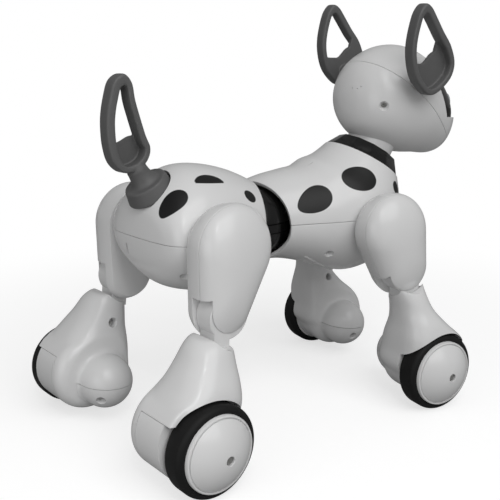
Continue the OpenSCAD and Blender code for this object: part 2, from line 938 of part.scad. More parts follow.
module neck_post() {
  color("gray")
    front_half()
      at_neck() {
        translate([0, 0, -wall - post_flange])
          cylinder(d = neck_post_d, h = wall + post_flange + post_top + 1);
        translate([0, 0, -wall - post_flange])
          cylinder(r = neck_post_d / 2 + post_flange, h = post_flange);
        translate([0, 0, post_top])
          cylinder(r = neck_post_d / 2 + post_flange, h = post_flange);
      }
}

module neck_ring() {
  color("white")
    head_half()
      at_neck()
        difference() {
          translate([0, 0, fit_gap])
            cylinder(r = neck_r, h = neck_ring_h - fit_gap);
          cylinder(d = neck_post_d + 2 * run_gap, h = neck_ring_h);
          translate([0, 0, post_top - fit_gap])
            cylinder(r = neck_post_d / 2 + post_flange + fit_gap, h = neck_ring_h);
        }
}

// Head, split by a slanted plane behind the ears
split_x = neck_x - 2.7;
split_z = neck_z + 74.4;
split_tilt = 36.9;
head_wall = 2 * wall;
head_recess = [-8, 27.5, 47.5];
module head_form(inset = 0) {
  skin([for (s = steps(head_stations, 2)) body_ring(s, inset, head_n)]);
}

module head_room() {
  skin([for (s = head_stations) body_ring(s, head_wall, cavity_n)]);
}

module behind_split(gap) {
  translate([split_x, 0, split_z])
    rotate([0, split_tilt, 0])
      below(-gap);
}

module head_shell() {
  difference() {
    head_form();
    head_room();
    at_neck()
      cylinder(r = neck_r + run_gap, h = neck_ring_h + run_gap);
    for (side = [-1, 1])
      scale_side(side)
        translate([ear_x, 0, ear_peg_z])
          bar_y(ear_peg_r + run_gap, ear_y - ear_peg_l - run_gap, ear_y);
  }
}

module head_rear_shell() {
  color("white")
    head_half()
      difference() {
        intersection() {
          head_shell();
          behind_split(seam / 2);
        }
        for (side = [-1, 1])
          scale_side(side)
            translate([neck_x + head_recess[0], head_recess[1], neck_z + head_recess[2]])
              rotate([0, 0, 40])
                bar_y(recess_r + 1, -recess_cut, leg_y);
      }
}

// The lenses: plugs square to the slant of the face, with domed fronts
eye_x = neck_x + 74;
eye_y = 17;
eye_z = neck_z + 46;
eye_turn = 32;
eye_depth = 8;
lens_edge = 0.6;
lens_dome = 3;
module at_eyes() {
  for (side = [-1, 1])
    translate([eye_x, side * eye_y, eye_z])
      rotate([0, 90, side * eye_turn])
        children();
}

module eye_seats() {
  at_eyes()
    translate([0, 0, -eye_depth])
      cylinder(r = eye_r + run_gap, h = 4 * eye_depth);
}

// Outline of the visor seen from the front, from its middle; at the sides it ends at a slanted plane
visor_points = [[0, 15], [18, 16], [44, 20], [44, -7], [36, -8], [28, -10], [17, -13], [8, -9], [0, -7],
  [-8, -9], [-17, -13], [-28, -10], [-36, -8], [-44, -7], [-44, 20], [-18, 16]];
visor_back = 54.4;
visor_slant = 28.6;
visor_set = 3;
module visor_column(gap) {
  translate([neck_x, 0, eye_z])
    difference() {
      rotate([90, 0, 90])
        linear_extrude(height = 150)
          polygon(round_curve([for (p = visor_points) p + gap * [sign(p[0]), sign(p[1])]], 2));
      translate([visor_back - gap, 0, 0])
        rotate([0, -visor_slant, 0])
          translate([-200, -100, -100])
            cube(200);
    }
}

nose_x = neck_x + 76;
nose_z = neck_z + 23;
module nose_ball(r) {
  translate([nose_x, 0, nose_z])
    sphere(r = r);
}

module face_shell() {
  color("white")
    head_half()
      difference() {
        head_shell();
        behind_split(-seam / 2);
        visor_column(fit_gap);
        nose_ball(nose_r + run_gap);
      }
}

module visor() {
  color([0.03, 0.03, 0.03])
    head_half()
      difference() {
        intersection() {
          head_form(visor_set);
          visor_column(0);
        }
        eye_seats();
      }
}

module eye_lenses() {
  color("lightblue")
    head_half()
      at_eyes()
        rotate_extrude()
          polygon(concat([[0, -eye_depth], [eye_r, -eye_depth]],
            [for (a = [0:10:90]) [eye_r * cos(a), lens_edge + lens_dome * sin(a)]]));
}

module nose() {
  color([0.05, 0.05, 0.05])
    head_half()
      nose_ball(nose_r);
}

// Leaf-shaped loops and the upper edges of their webs, from the lowest point, as shares of width and height
ear_points = [[0.05, 0], [0.26, 0.055], [0.475, 0.2], [0.525, 0.37], [0.4, 0.56], [0.19, 0.72], [0, 0.875],
  [-0.12, 0.965], [-0.24, 1], [-0.34, 0.94], [-0.41, 0.83], [-0.47, 0.6], [-0.45, 0.4], [-0.34, 0.2], [-0.13, 0.05]];
ear_web = [[1, 0.7], [0.26, 0.68], [0.21, 0.61], [0.16, 0.48], [-0.1, 0.35], [-1, 0.36]];
tail_points = [[0.045, 0], [0.42, 0.093], [0.562, 0.24], [0.444, 0.378], [0.326, 0.59], [0.246, 0.736], [0.214, 0.9],
  [0.035, 1], [-0.233, 0.92], [-0.304, 0.762], [-0.396, 0.479], [-0.348, 0.283], [-0.265, 0.125]];
tail_web = [[1, 0.4], [0.28, 0.365], [-0.1, 0.3], [-1, 0.27]];
loop_section = [[0, -0.5], [0.7, -0.5], [1, -0.4], [1, 0.4], [0.7, 0.5], [0.3, 0.5], [0, 0.42], [0, -0.42]];
function loop_outline(points, h, w, inset) =
  let (curve = round_curve([for (p = points) [p[0] * w, p[1] * h]], 2), n = len(curve))
  [for (i = [0:n - 1])
    let (d = curve[(i + 1) % n] - curve[(i + n - 1) % n])
    curve[i] + inset * [-d[1], d[0]] / norm(d)];

module leaf(points, web, h, w, depth, web_z) {
  rims = [for (q = loop_section)
    [for (p = loop_outline(points, h, w, loop_rim * (1 - q[0]))) [p[0], p[1], q[1] * depth]]];
  n = len(rims[0]);
  ring_skin([for (i = [n - 1:-1:0]) [for (k = [0:len(loop_section) - 1]) rims[k][i]]]);
  translate([0, 0, web_z])
    linear_extrude(height = web_t)
      intersection() {
        polygon(loop_outline(points, h, w, loop_rim * 0.5));
        polygon(concat([[-w, -h], [w, -h]], [for (p = web) [p[0] * w, p[1] * h]]));
      }
}

ear_x = neck_x + 13.3;
ear_z = neck_z + 57;
ear_peg_r = 6;
ear_peg_z = ear_z + 13;
ear_peg_l = 20;
ear_shoulder_r = 8;
ear_shoulder_l = ear_y - ear_depth / 2 - 40;
module ear(side) {
  head_half()
    scale_side(side) {
      translate([ear_x, ear_y, ear_z])
        rotate([90, 0, 0])
          leaf(ear_points, ear_web, ear_h, ear_w, ear_depth, ear_depth / 2 - web_t);
      translate([ear_x, ear_y, ear_peg_z])
        rotate([90, 0, 0]) {
          cylinder(r = ear_peg_r, h = ear_peg_l);
          translate([0, 0, ear_depth / 2 - 1])
            cylinder(r1 = ear_shoulder_r, r2 = ear_peg_r + 1, h = ear_shoulder_l + 1);
        }
    }
}

module left_ear() {
  color([0.25, 0.25, 0.25])
    ear(1);
}

module right_ear() {
  color([0.25, 0.25, 0.25])
    ear(-1);
}

// Tail
tail_x = 22.5;
tail_z = 173.5;
peg_r = 7;
peg_l = 14;
lip_h = 8;
lip_step = 1.8;
stem_r = 7;
module tail_place() {
  translate([tail_x, 0, tail_z])
    rotate([0, -tail_lean, 0])
      children();
}

module tail() {
  bell_r = skirt_r - lip_step;
  color([0.25, 0.25, 0.25]) {
    tail_place()
      rotate_extrude()
        polygon(concat(
          [[0, -peg_l], [peg_r, -peg_l], [peg_r, 0], [skirt_r - 1, 0], [skirt_r, 1], [skirt_r, lip_h - 1],
            [skirt_r - 1, lip_h]],
          [for (t = [0:0.125:1])
            [bell_r - (bell_r - stem_r) * sin(90 * t), lip_h + (skirt_h - lip_h) * (1 - cos(90 * t))]],
          [[tail_depth / 2, skirt_h + loop_rim], [0, skirt_h + loop_rim]]));
    translate([tail_x - skirt_h * sin(tail_lean) - 10, 0, tail_z + skirt_h * cos(tail_lean) - 1.5])
      rotate([90, 0, 0])
        leaf(tail_points, tail_web, tail_h, tail_w, tail_depth, -tail_depth / 2);
  }
}

placed() rear_upper_shell();
placed() rear_lower_shell();
placed() waist_barrel_upper();
placed() waist_barrel_lower();
placed() rear_hip_shaft();
placed() battery_pack();
placed() battery_door();
placed() main_board();
placed() power_switch();
placed() tail();
placed() front_upper_shell();
placed() front_lower_shell();
placed() waist_disc();
placed() front_hip_shaft();
placed() collar();
placed() neck_post();
placed() neck_ring();
placed() head_rear_shell();
placed() face_shell();
placed() visor();
placed() eye_lenses();
placed() nose();
placed() left_ear();
placed() right_ear();
for (leg = LEGS) {
  placed() tyre(leg);
  placed() hub(leg);
  placed() axle(leg);
  placed() boot(leg);
  placed() heel_cap(leg);
  placed() gear_cap(leg);
  placed() knee_pin(leg);
  placed() thigh_inner(leg);
  placed() thigh_outer(leg);
}
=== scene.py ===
import json
import math

import bmesh
import bpy
from mathutils import Matrix, Vector


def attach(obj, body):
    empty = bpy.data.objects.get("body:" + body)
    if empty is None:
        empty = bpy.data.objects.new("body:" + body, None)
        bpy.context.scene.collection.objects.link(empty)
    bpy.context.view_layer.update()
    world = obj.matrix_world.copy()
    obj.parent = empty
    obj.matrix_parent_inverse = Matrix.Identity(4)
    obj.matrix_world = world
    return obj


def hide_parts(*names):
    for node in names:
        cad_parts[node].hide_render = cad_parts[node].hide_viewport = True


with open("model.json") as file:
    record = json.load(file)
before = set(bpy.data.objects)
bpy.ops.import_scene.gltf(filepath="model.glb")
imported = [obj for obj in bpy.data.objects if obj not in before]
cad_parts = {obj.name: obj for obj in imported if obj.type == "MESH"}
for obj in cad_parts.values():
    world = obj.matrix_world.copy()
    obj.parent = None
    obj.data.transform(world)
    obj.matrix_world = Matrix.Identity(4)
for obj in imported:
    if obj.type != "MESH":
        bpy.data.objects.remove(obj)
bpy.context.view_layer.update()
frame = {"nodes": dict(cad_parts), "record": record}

# Rear body: two injection-moulded ABS shells in gloss white, screwed together along a level seam.
# They close over the tail seat and end at the waist in a rim that leaves room for the turn.
# The spots of the coat are pad printed in black on the finished shells.
MM = 0.001
WALL = 2.6
SEAM = 0.4
SEAM_Z = 145
WAIST_X = 106
HALF_WIDTH = 46.5
RUMP_X = 9.5
BELT_Z = 146
REAR_UP = 45.4
REAR_DOWN = 45.5
REAR_RIM_SLOPE = math.tan(math.radians(21))
RIM_ROUND = 4
WAIST_GAP = 2
SHELL_COLUMNS = 160
SHELL_ROWS = 90
HALVINGS = 40
CUT_MERGE = 0.02
FIT_GAP = 0.3
UP = Vector((0, 0, 1))

# Stations along the rear body: distance from the rump, then shares of its height, depth and half width.
REAR_SHAPE = [
    (0, 0.05, 0.05, 0.12), (0.4, 0.2, 0.19, 0.38), (2, 0.42, 0.39, 0.68), (6.5, 0.61, 0.58, 0.89),
    (16, 0.83, 0.79, 0.975), (32, 1, 0.93, 1), (52, 0.99, 1, 0.98), (75, 0.86, 0.9, 0.88),
    (98, 0.63, 0.73, 0.75),
]
REAR_STATIONS = [
    (RUMP_X + x, BELT_Z, REAR_UP * up, REAR_DOWN * down, HALF_WIDTH * half)
    for x, up, down, half in REAR_SHAPE
]
scene = bpy.context.scene

# The dog is drawn in millimetres from the floor under the middle of the rear axle, facing along X.
rear_wheels = [
    Vector(joint["pos_m"]) / MM for joint in frame["record"]["behaviour"]["joints"]
    if joint["name"] in ("left_rear_roll", "right_rear_roll")
]
rear_axle = (rear_wheels[0] + rear_wheels[1]) / 2
DOG = Matrix.Translation((rear_axle.x, rear_axle.y, 0))


def along(stations, u):
    """Point of the smooth curve through a list of stations."""
    i = min(int(u), len(stations) - 2)
    t = u - i
    a, b, c, d = (stations[min(max(i + k, 0), len(stations) - 1)] for k in (-1, 0, 1, 2))
    return [
        0.5 * (2 * q + (r - p) * t + (2 * p - 5 * q + 4 * r - s) * t ** 2 + (3 * q - p - 3 * r + s) * t ** 3)
        for p, q, r, s in zip(a, b, c, d)
    ]


def shares(count):
    """Shares from nothing to the whole in equal steps."""
    return [i / count for i in range(count + 1)]


def full_turn(count):
    """Angles round a full turn in equal steps."""
    return [2 * math.pi * i / count for i in range(count)]


def quarter_turn(count):
    """Angles of a quarter turn in equal steps, with both ends."""
    return [math.pi / 2 * t for t in shares(count)]


def oval(station, angle):
    """Point on an upright oval section with its own reach up and down."""
    x, z, up, down, half = station
    reach = up if math.sin(angle) > 0 else down
    return Vector((x, half * math.cos(angle), z + reach * math.sin(angle)))


def rear_point(u, angle):
    return oval(along(REAR_STATIONS, u), angle)


def rim_slope(y, slope):
    """Distance of a waist rim from the waist, by the distance from the middle plane."""
    return WAIST_GAP / 2 + slope * (math.hypot(y, RIM_ROUND) - RIM_ROUND)


def rear_rim(y):
    return WAIST_X - rim_slope(y, REAR_RIM_SLOPE)


def rim_station(point, rim, angle, count):
    """Station at which a line along the body meets a waist rim."""
    low, high = 0.0, count - 1.0
    for _ in range(HALVINGS):
        middle = (low + high) / 2
        place = point(middle, angle)
        if place.x < rim(place.y):
            low = middle
        else:
            high = middle
    return low


def skin_of(rings, cap_first=False, cap_last=False):
    """Mesh over a list of rings of points."""
    mesh = bmesh.new()
    loops = [[mesh.verts.new(p) for p in ring] for ring in rings]
    count = len(loops[0])
    for a, b in zip(loops, loops[1:]):
        for i in range(count):
            mesh.faces.new((a[i], a[(i + 1) % count], b[(i + 1) % count], b[i]))
    if cap_first:
        mesh.faces.new(loops[0])
    if cap_last:
        mesh.faces.new(loops[-1])
    bmesh.ops.recalc_face_normals(mesh, faces=mesh.faces)
    return mesh


def body_skin(point, firsts, lasts, cap_first=False, cap_last=False):
    """Skin along a body whose lines run from their own first to their own last station."""
    rings = []
    for share in shares(SHELL_ROWS):
        lines = zip(full_turn(SHELL_COLUMNS), firsts, lasts)
        rings.append([point(first + (last - first) * share, angle) for angle, first, last in lines])
    return skin_of(rings, cap_first, cap_last)


def kept_side(mesh, place, normal):
    """Part of a mesh on the side of a plane that its normal points away from."""
    half = mesh.copy()
    parts = half.verts[:] + half.edges[:] + half.faces[:]
    bmesh.ops.bisect_plane(half, geom=parts, plane_co=place, plane_no=normal, clear_outer=True)
    bmesh.ops.remove_doubles(half, verts=half.verts, dist=CUT_MERGE)
    return half


def as_mesh(mesh):
    """Plain mesh data of a mesh under work."""
    data = bpy.data.meshes.new("work")
    mesh.to_mesh(data)
    mesh.free()
    return data


def worked_object(data):
    """Object for mesh data under work."""
    work = bpy.data.objects.new("work", data)
    scene.collection.objects.link(work)
    return work


def result_of(work):
    """Plain mesh of an object with its modifiers; the object and its own mesh go."""
    data = work.data
    bpy.context.view_layer.update()
    result = bpy.data.meshes.new_from_object(work.evaluated_get(bpy.context.evaluated_depsgraph_get()))
    bpy.data.objects.remove(work)
    bpy.data.meshes.remove(data)
    return result


def treated(data, *modifiers):
    """Mesh data after a chain of modifiers, each given by its type and its settings."""
    work = worked_object(data)
    for kind, settings in modifiers:
        modifier = work.modifiers.new(kind.lower(), kind)
        for key, value in settings.items():
            setattr(modifier, key, value)
    return result_of(work)


def combined(data, operation, *tools):
    """Mesh data after a boolean operation with each of the tools in turn."""
    for tool in tools:
        tool_data = as_mesh(tool)
        other = worked_object(tool_data)
        data = treated(data, ("BOOLEAN", {"operation": operation, "object": other, "solver": "EXACT"}))
        bpy.data.objects.remove(other)
        bpy.data.meshes.remove(tool_data)
    return data


def lathed(profile, segments=96, matrix=Matrix()):
    """Turned solid from a profile of radius and height pairs, closed where the radius is nothing."""
    mesh = bmesh.new()
    rings = []
    for radius, height in profile:
        if radius == 0:
            rings.append([mesh.verts.new((0, 0, height))])
        else:
            places = [(radius * math.cos(a), radius * math.sin(a), height) for a in full_turn(segments)]
            rings.append([mesh.verts.new(p) for p in places])
    for a, b in zip(rings, rings[1:] + rings[:1]):
        for i in range(segments):
            corners = [a[i % len(a)], a[(i + 1) % len(a)], b[(i + 1) % len(b)], b[i % len(b)]]
            corners = [v for k, v in enumerate(corners) if v not in corners[:k]]
            if len(corners) > 2:
                mesh.faces.new(corners)
    bmesh.ops.recalc_face_normals(mesh, faces=mesh.faces)
    mesh.transform(matrix)
    return mesh


def cylinder(radius, low, high):
    """Profile of a cylinder between two heights."""
    return [(0, low), (radius, low), (radius, high), (0, high)]


def upright_along(place, direction):
    """Place of a turned piece with its axis along a direction."""
    return Matrix.Translation(place) @ UP.rotation_difference(Vector(direction)).to_matrix().to_4x4()


def bar(start, direction, radius, length, segments=48):
    """Round bar from a place along a direction."""
    return lathed(cylinder(radius, 0, length), segments, upright_along(start, direction))


def block(low, high):
    """Box between two corners."""
    mesh = bmesh.new()
    bmesh.ops.create_cube(mesh, size=1)
    low, high = Vector(low), Vector(high)
    mesh.transform(Matrix.Translation((low + high) / 2) @ Matrix.Diagonal(high - low).to_4x4())
    return mesh


def linear(hex_colour):
    """Linear colour of an sRGB hex value."""
    channels = [int(hex_colour[i:i + 2], 16) / 255 for i in (1, 3, 5)]
    return [c / 12.92 if c <= 0.04045 else ((c + 0.055) / 1.055) ** 2.4 for c in channels] + [1]


def feed(tree, node, inputs):
    """Gives each named input of a node its value or a link from another node's output."""
    for key, value in inputs.items():
        if isinstance(value, bpy.types.NodeSocket):
            tree.links.new(value, node.inputs[key])
        else:
            node.inputs[key].default_value = value


def add_node(tree, kind, inputs=None, **settings):
    """Adds a node with its settings and its inputs."""
    made = tree.nodes.new(kind)
    for key, value in settings.items():
        setattr(made, key, value)
    feed(tree, made, inputs or {})
    return made


PLASTIC_IOR = 1.53


def surface(name, dark, light, roughness, patch_mm, grain_mm, grain_height_mm, spread=0.06, shine=0.5):
    """Surface with a slow change of tone, patches of other gloss and a fine grain."""
    material = bpy.data.materials.new(name)
    material.use_nodes = True
    tree = material.node_tree
    where = add_node(tree, "ShaderNodeTexCoord").outputs["Object"]
    patches = add_node(tree, "ShaderNodeTexNoise", {
        "Vector": where, "Scale": 1 / (patch_mm * MM), "Detail": 3})
    tone = add_node(tree, "ShaderNodeMix", {
        0: patches.outputs["Fac"], 6: linear(dark), 7: linear(light)}, data_type="RGBA")
    gloss = add_node(tree, "ShaderNodeMapRange", {
        "Value": patches.outputs["Fac"], "To Min": roughness - spread / 2, "To Max": roughness + spread / 2})
    grain = add_node(tree, "ShaderNodeTexNoise", {
        "Vector": where, "Scale": 1 / (grain_mm * MM), "Detail": 2})
    bump = add_node(tree, "ShaderNodeBump", {
        "Height": grain.outputs["Fac"], "Distance": grain_height_mm * MM, "Strength": 1})
    feed(tree, tree.nodes["Principled BSDF"], {
        "Base Color": tone.outputs[2], "Roughness": gloss.outputs["Result"], "Normal": bump.outputs["Normal"],
        "IOR": PLASTIC_IOR, "Specular IOR Level": shine})
    return material


# Gloss ABS from a polished mould: an even white with soft highlights and the faintest ripple.
white_abs = surface("moulded_gloss_white_abs", "#DFDFDF", "#E4E4E4", 0.2, 40, 6, 0.004, shine=0.36)

# The same ABS with the print of the coat: a thin black ink, edged crisply, with less gloss than the plastic.
INK_EDGE = 0.15
INK_ROUGHNESS = 0.5
spotted_abs = white_abs.copy()
spotted_abs.name = "pad_printed_gloss_white_abs"
tree = spotted_abs.node_tree
shader = tree.nodes["Principled BSDF"]
edge = add_node(tree, "ShaderNodeAttribute", attribute_name="spot_edge")
ink = add_node(tree, "ShaderNodeMapRange", {
    "Value": edge.outputs["Fac"], "From Min": -INK_EDGE, "From Max": INK_EDGE, "To Min": 1, "To Max": 0})
plain_colour = shader.inputs["Base Color"].links[0].from_socket
plain_gloss = shader.inputs["Roughness"].links[0].from_socket
inked = add_node(tree, "ShaderNodeMix", {
    0: ink.outputs["Result"], 6: plain_colour, 7: linear("#0C0C0C")}, data_type="RGBA")
dulled = add_node(tree, "ShaderNodeMix", {
    0: ink.outputs["Result"], 2: plain_gloss, 3: INK_ROUGHNESS}, data_type="FLOAT")
feed(tree, shader, {"Base Color": inked.outputs[2], "Roughness": dulled.outputs[0]})


FAR_FROM_SPOTS = 10.0


def print_spots(data, spots):
    """Stores how far each point lies outside the nearest printed spot, in millimetres."""
    edges = []
    for vertex in data.vertices:
        nearest = FAR_FROM_SPOTS
        for centre, tip, half_width, taper, top_only in spots:
            reach = (tip - centre).length
            lengthways = (tip - centre) / reach
            away = vertex.co - centre
            run = away.dot(lengthways)
            side = math.sqrt(max(away.length_squared - run * run, 0))
            width = half_width * (1 + taper * max(min(run / reach, 1), -1))
            edge = (math.hypot(run / reach, side / width) - 1) * half_width
            if top_only:
                edge = max(edge, run * lengthways.z - away.z)
            nearest = min(nearest, edge)
        edges.append(nearest)
    data.attributes.new("spot_edge", "FLOAT", "POINT").data.foreach_set("value", edges)


def spots_on(sides, spots):
    """Spots given for the right side, as they are (1) and as their mirror images (-1)."""
    both = []
    for side in sides:
        for centre, tip, *form in spots:
            turn = Vector((1, side, 1))
            both.append((Vector(centre) * turn, Vector(tip) * turn, *form))
    return both


SHARP_ANGLE = math.radians(35)


def piece(name, data, place, material, body, slot, *nodes):
    """Finished piece from mesh data in millimetres, on its body and in its node's stead."""
    mesh = bmesh.new()
    mesh.from_mesh(data)
    mesh.transform(Matrix.Scale(MM, 4) @ place)
    if place.determinant() < 0:
        bmesh.ops.reverse_faces(mesh, faces=mesh.faces)
    mesh.to_mesh(data)
    mesh.free()
    data.shade_smooth()
    data.set_sharp_from_angle(angle=SHARP_ANGLE)
    data.name = name
    data.materials.clear()
    data.materials.append(material)
    made = bpy.data.objects.new(name, data)
    scene.collection.objects.link(made)
    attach(made, body)
    if nodes:
        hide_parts(*nodes)
    return made


def rounded(width, segments, angle):
    """Modifier that rounds the edges sharper than an angle in degrees."""
    return "BEVEL", {
        "width": width, "segments": segments, "limit_method": "ANGLE", "angle_limit": math.radians(angle)}


RIM_BEVEL = rounded(0.45, 2, 50)
SHELL = ("SOLIDIFY", {"thickness": WALL, "offset": -1, "use_rim": True})
ABOVE_SEAM = (UP * (SEAM_Z + SEAM / 2), -UP)
BELOW_SEAM = (UP * (SEAM_Z - SEAM / 2), UP)
TAIL_X = 22.5
TAIL_Z = 173.5
TAIL_LEAN = -33
TAIL_PLACE = Matrix.Translation((TAIL_X, 0, TAIL_Z)) @ Matrix.Rotation(math.radians(TAIL_LEAN), 4, "Y")
SKIRT_R = 17
SEAT_CLEAR = 40

# Spots: the centre, the tip, half the width, how much the width grows to the tip, and whether only the half
# above the long axis is printed. The one by the tail is on the right alone, the others are on both sides.
REAR_SPOTS = spots_on((1,), [((20.5, -27, 170.5), (28.7, -29.5, 179), 7.5, 0.15, False)])
REAR_SPOTS += spots_on((1, -1), [
    ((50, -29.6, 181.3), (62, -30.5, 180.3), 8.6, 0, True),
    ((80.9, -33.6, 169.7), (86, -34, 167.5), 4.8, 0, False),
])


def half_shell(skin, place, normal):
    """Hollow part of a skin on one side of a plane, with its edges rounded."""
    return treated(as_mesh(kept_side(skin, place, normal)), SHELL, RIM_BEVEL)


rear_lasts = [
    rim_station(rear_point, rear_rim, angle, len(REAR_STATIONS)) for angle in full_turn(SHELL_COLUMNS)
]
rear_skin = body_skin(rear_point, [0] * SHELL_COLUMNS, rear_lasts, cap_first=True)
rear_upper = half_shell(rear_skin, *ABOVE_SEAM)
tail_seat = cylinder(SKIRT_R + FIT_GAP, -FIT_GAP, SEAT_CLEAR)
rear_upper = combined(rear_upper, "DIFFERENCE", lathed(tail_seat, 96, TAIL_PLACE))
print_spots(rear_upper, REAR_SPOTS)
piece("rear_upper_body", rear_upper, DOG, spotted_abs, "rear_torso", "white_plastic", "rear_upper_shell")

# Lower rear shell: white ABS with the openings of the belly, for the battery door, the charging socket
# and the power switch, and a narrow slot at the rump. Screws in two deep wells hold it to the upper shell.
DOOR_X = 52
DOOR_L = 44
DOOR_W = 30
BELLY_LOW = 60
BELLY_HIGH = 120
PAD_AHEAD = 5
PAD_X = DOOR_X + DOOR_L / 2 + PAD_AHEAD
PAD_Y = 11
SOCKET_R = 2.8
SWITCH_HALF_L = 1.6
SWITCH_HALF_W = 4.8
RUMP_SLOT_Y = 15.4
RUMP_SLOT_W = 2
RUMP_SLOT_LOW = 131
RUMP_SLOT_HIGH = 138.6
RUMP_SLOT_DEPTH = 13.5
WELL_R = 2.1
WELL_MOUTH_R = 4.2
WELL_DEPTH = 7
FUNNEL = 2.8
BOSS_WALL = 2
BOSS_FLOOR = 1.5
BOSS_SET = 1.2
MOUTH_LIFT = 0.4
MOUTH_CLEAR = 4
REAR_WELLS = [((24.7, side * 33.2, 121.9), (-0.41, side * 0.59, -0.7)) for side in (-1, 1)]


def with_wells(data, wells, radius, mouth, boss=True):
    """Piece with blind screw wells, each with a funnel mouth, in bosses behind a thin wall."""
    for place, facing in wells:
        matrix = upright_along(place, facing)
        if boss:
            core = cylinder(radius + BOSS_WALL, -WELL_DEPTH - BOSS_FLOOR, -BOSS_SET)
            data = combined(data, "UNION", lathed(core, 32, matrix))
        funnel = FUNNEL if boss else mouth - radius
        hole = [
            (0, -WELL_DEPTH), (radius, -WELL_DEPTH), (radius, -funnel), (mouth, MOUTH_LIFT),
            (mouth, MOUTH_CLEAR), (0, MOUTH_CLEAR),
        ]
        data = combined(data, "DIFFERENCE", lathed(hole, 32, matrix))
    return data


# Cross-head screws: small zinc-plated steel screws, driven home on the floors of the wells.
# One Geometry Nodes tree sets a screw head at each well, square to its floor.
SCREW_R = 1.9
SCREW_HEAD_H = 1.4
SCREW_SET = 0.8
CROSS_W = 0.7
CROSS_SHARE = 1.3
screw_tree = bpy.data.node_groups.new("cross_head_screws", "GeometryNodeTree")
screw_inputs = {}
for label, kind in (("Wells", "NodeSocketGeometry"), ("Head Radius", "NodeSocketFloat"),
                    ("Head Height", "NodeSocketFloat"), ("Slot Width", "NodeSocketFloat"),
                    ("Metal", "NodeSocketMaterial")):
    socket = screw_tree.interface.new_socket(label, in_out="INPUT", socket_type=kind)
    screw_inputs[label] = socket.identifier
screw_tree.interface.new_socket("Screws", in_out="OUTPUT", socket_type="NodeSocketGeometry")
given = add_node(screw_tree, "NodeGroupInput").outputs
head = add_node(screw_tree, "GeometryNodeMeshCylinder", {
    "Vertices": 32, "Radius": given["Head Radius"], "Depth": given["Head Height"]})
slot_length = add_node(
    screw_tree, "ShaderNodeMath", {0: given["Head Radius"], 1: CROSS_SHARE}, operation="MULTIPLY")
slots = []
for first, second in (("X", "Y"), ("Y", "X")):
    size = add_node(screw_tree, "ShaderNodeCombineXYZ", {
        first: slot_length.outputs[0], second: given["Slot Width"], "Z": given["Head Height"]})
    bar_of_slot = add_node(screw_tree, "GeometryNodeMeshCube", {"Size": size.outputs["Vector"]})
    lift = add_node(screw_tree, "ShaderNodeCombineXYZ", {"Z": given["Slot Width"]})
    slots.append(add_node(screw_tree, "GeometryNodeTransform", {
        "Geometry": bar_of_slot.outputs["Mesh"], "Translation": lift.outputs["Vector"]}))
driven = add_node(
    screw_tree, "GeometryNodeMeshBoolean", {"Mesh 1": head.outputs["Mesh"]}, operation="DIFFERENCE")
for made in slots:
    screw_tree.links.new(made.outputs["Geometry"], driven.inputs["Mesh 2"])
facing = add_node(
    screw_tree, "GeometryNodeInputNamedAttribute", {"Name": "facing"}, data_type="FLOAT_VECTOR")
turned = add_node(
    screw_tree, "FunctionNodeAlignRotationToVector", {"Vector": facing.outputs["Attribute"]}, axis="Z")
placed = add_node(screw_tree, "GeometryNodeInstanceOnPoints", {
    "Points": given["Wells"], "Instance": driven.outputs["Mesh"], "Rotation": turned.outputs["Rotation"]})
real = add_node(screw_tree, "GeometryNodeRealizeInstances", {"Geometry": placed.outputs["Instances"]})
coated = add_node(screw_tree, "GeometryNodeSetMaterial", {
    "Geometry": real.outputs["Geometry"], "Material": given["Metal"]})
add_node(screw_tree, "NodeGroupOutput", {"Screws": coated.outputs["Geometry"]})

# Zinc-plated and turned steel: a grey metal with a broad highlight that breaks up over the tool marks.
steel = surface("turned_zinc_plated_steel", "#A9A9A6", "#BDBDBA", 0.32, 6, 0.5, 0.004)
feed(steel.node_tree, steel.node_tree.nodes["Principled BSDF"], {"Metallic": 1})


def screws(name, wells, place, body):
    """Screws on the floors of the wells of one body."""
    points = bpy.data.meshes.new("wells")
    depth = WELL_DEPTH - SCREW_SET
    points.from_pydata([Vector(p) - Vector(n).normalized() * depth for p, n in wells], [], [])
    attribute = points.attributes.new("facing", "FLOAT_VECTOR", "POINT")
    attribute.data.foreach_set("vector", [c for _, n in wells for c in n])
    work = worked_object(points)
    modifier = work.modifiers.new("screws", "NODES")
    modifier.node_group = screw_tree
    sizes = {"Head Radius": SCREW_R, "Head Height": SCREW_HEAD_H, "Slot Width": CROSS_W, "Metal": steel}
    for label, value in sizes.items():
        modifier[screw_inputs[label]] = value
    piece(name, result_of(work), place, steel, body, "steel")


rear_lower = half_shell(rear_skin, *BELOW_SEAM)
rear_lower = combined(
    rear_lower, "DIFFERENCE",
    block((DOOR_X - DOOR_L / 2 - FIT_GAP, -DOOR_W / 2 - FIT_GAP, BELLY_LOW),
          (DOOR_X + DOOR_L / 2 + FIT_GAP, DOOR_W / 2 + FIT_GAP, BELLY_HIGH)),
    bar((PAD_X, -PAD_Y, BELLY_LOW), UP, SOCKET_R, BELLY_HIGH - BELLY_LOW),
    block((PAD_X - SWITCH_HALF_L, PAD_Y - SWITCH_HALF_W, BELLY_LOW),
          (PAD_X + SWITCH_HALF_L, PAD_Y + SWITCH_HALF_W, BELLY_HIGH)),
    block((0, RUMP_SLOT_Y - RUMP_SLOT_W / 2, RUMP_SLOT_LOW),
          (RUMP_SLOT_DEPTH, RUMP_SLOT_Y + RUMP_SLOT_W / 2, RUMP_SLOT_HIGH)))
rear_lower = with_wells(rear_lower, REAR_WELLS, WELL_R, WELL_MOUTH_R)
print_spots(rear_lower, REAR_SPOTS)
piece("rear_lower_body", rear_lower, DOG, spotted_abs, "rear_torso", "white_plastic", "rear_lower_shell")
screws("rear_body_screws", REAR_WELLS, DOG, "rear_torso")

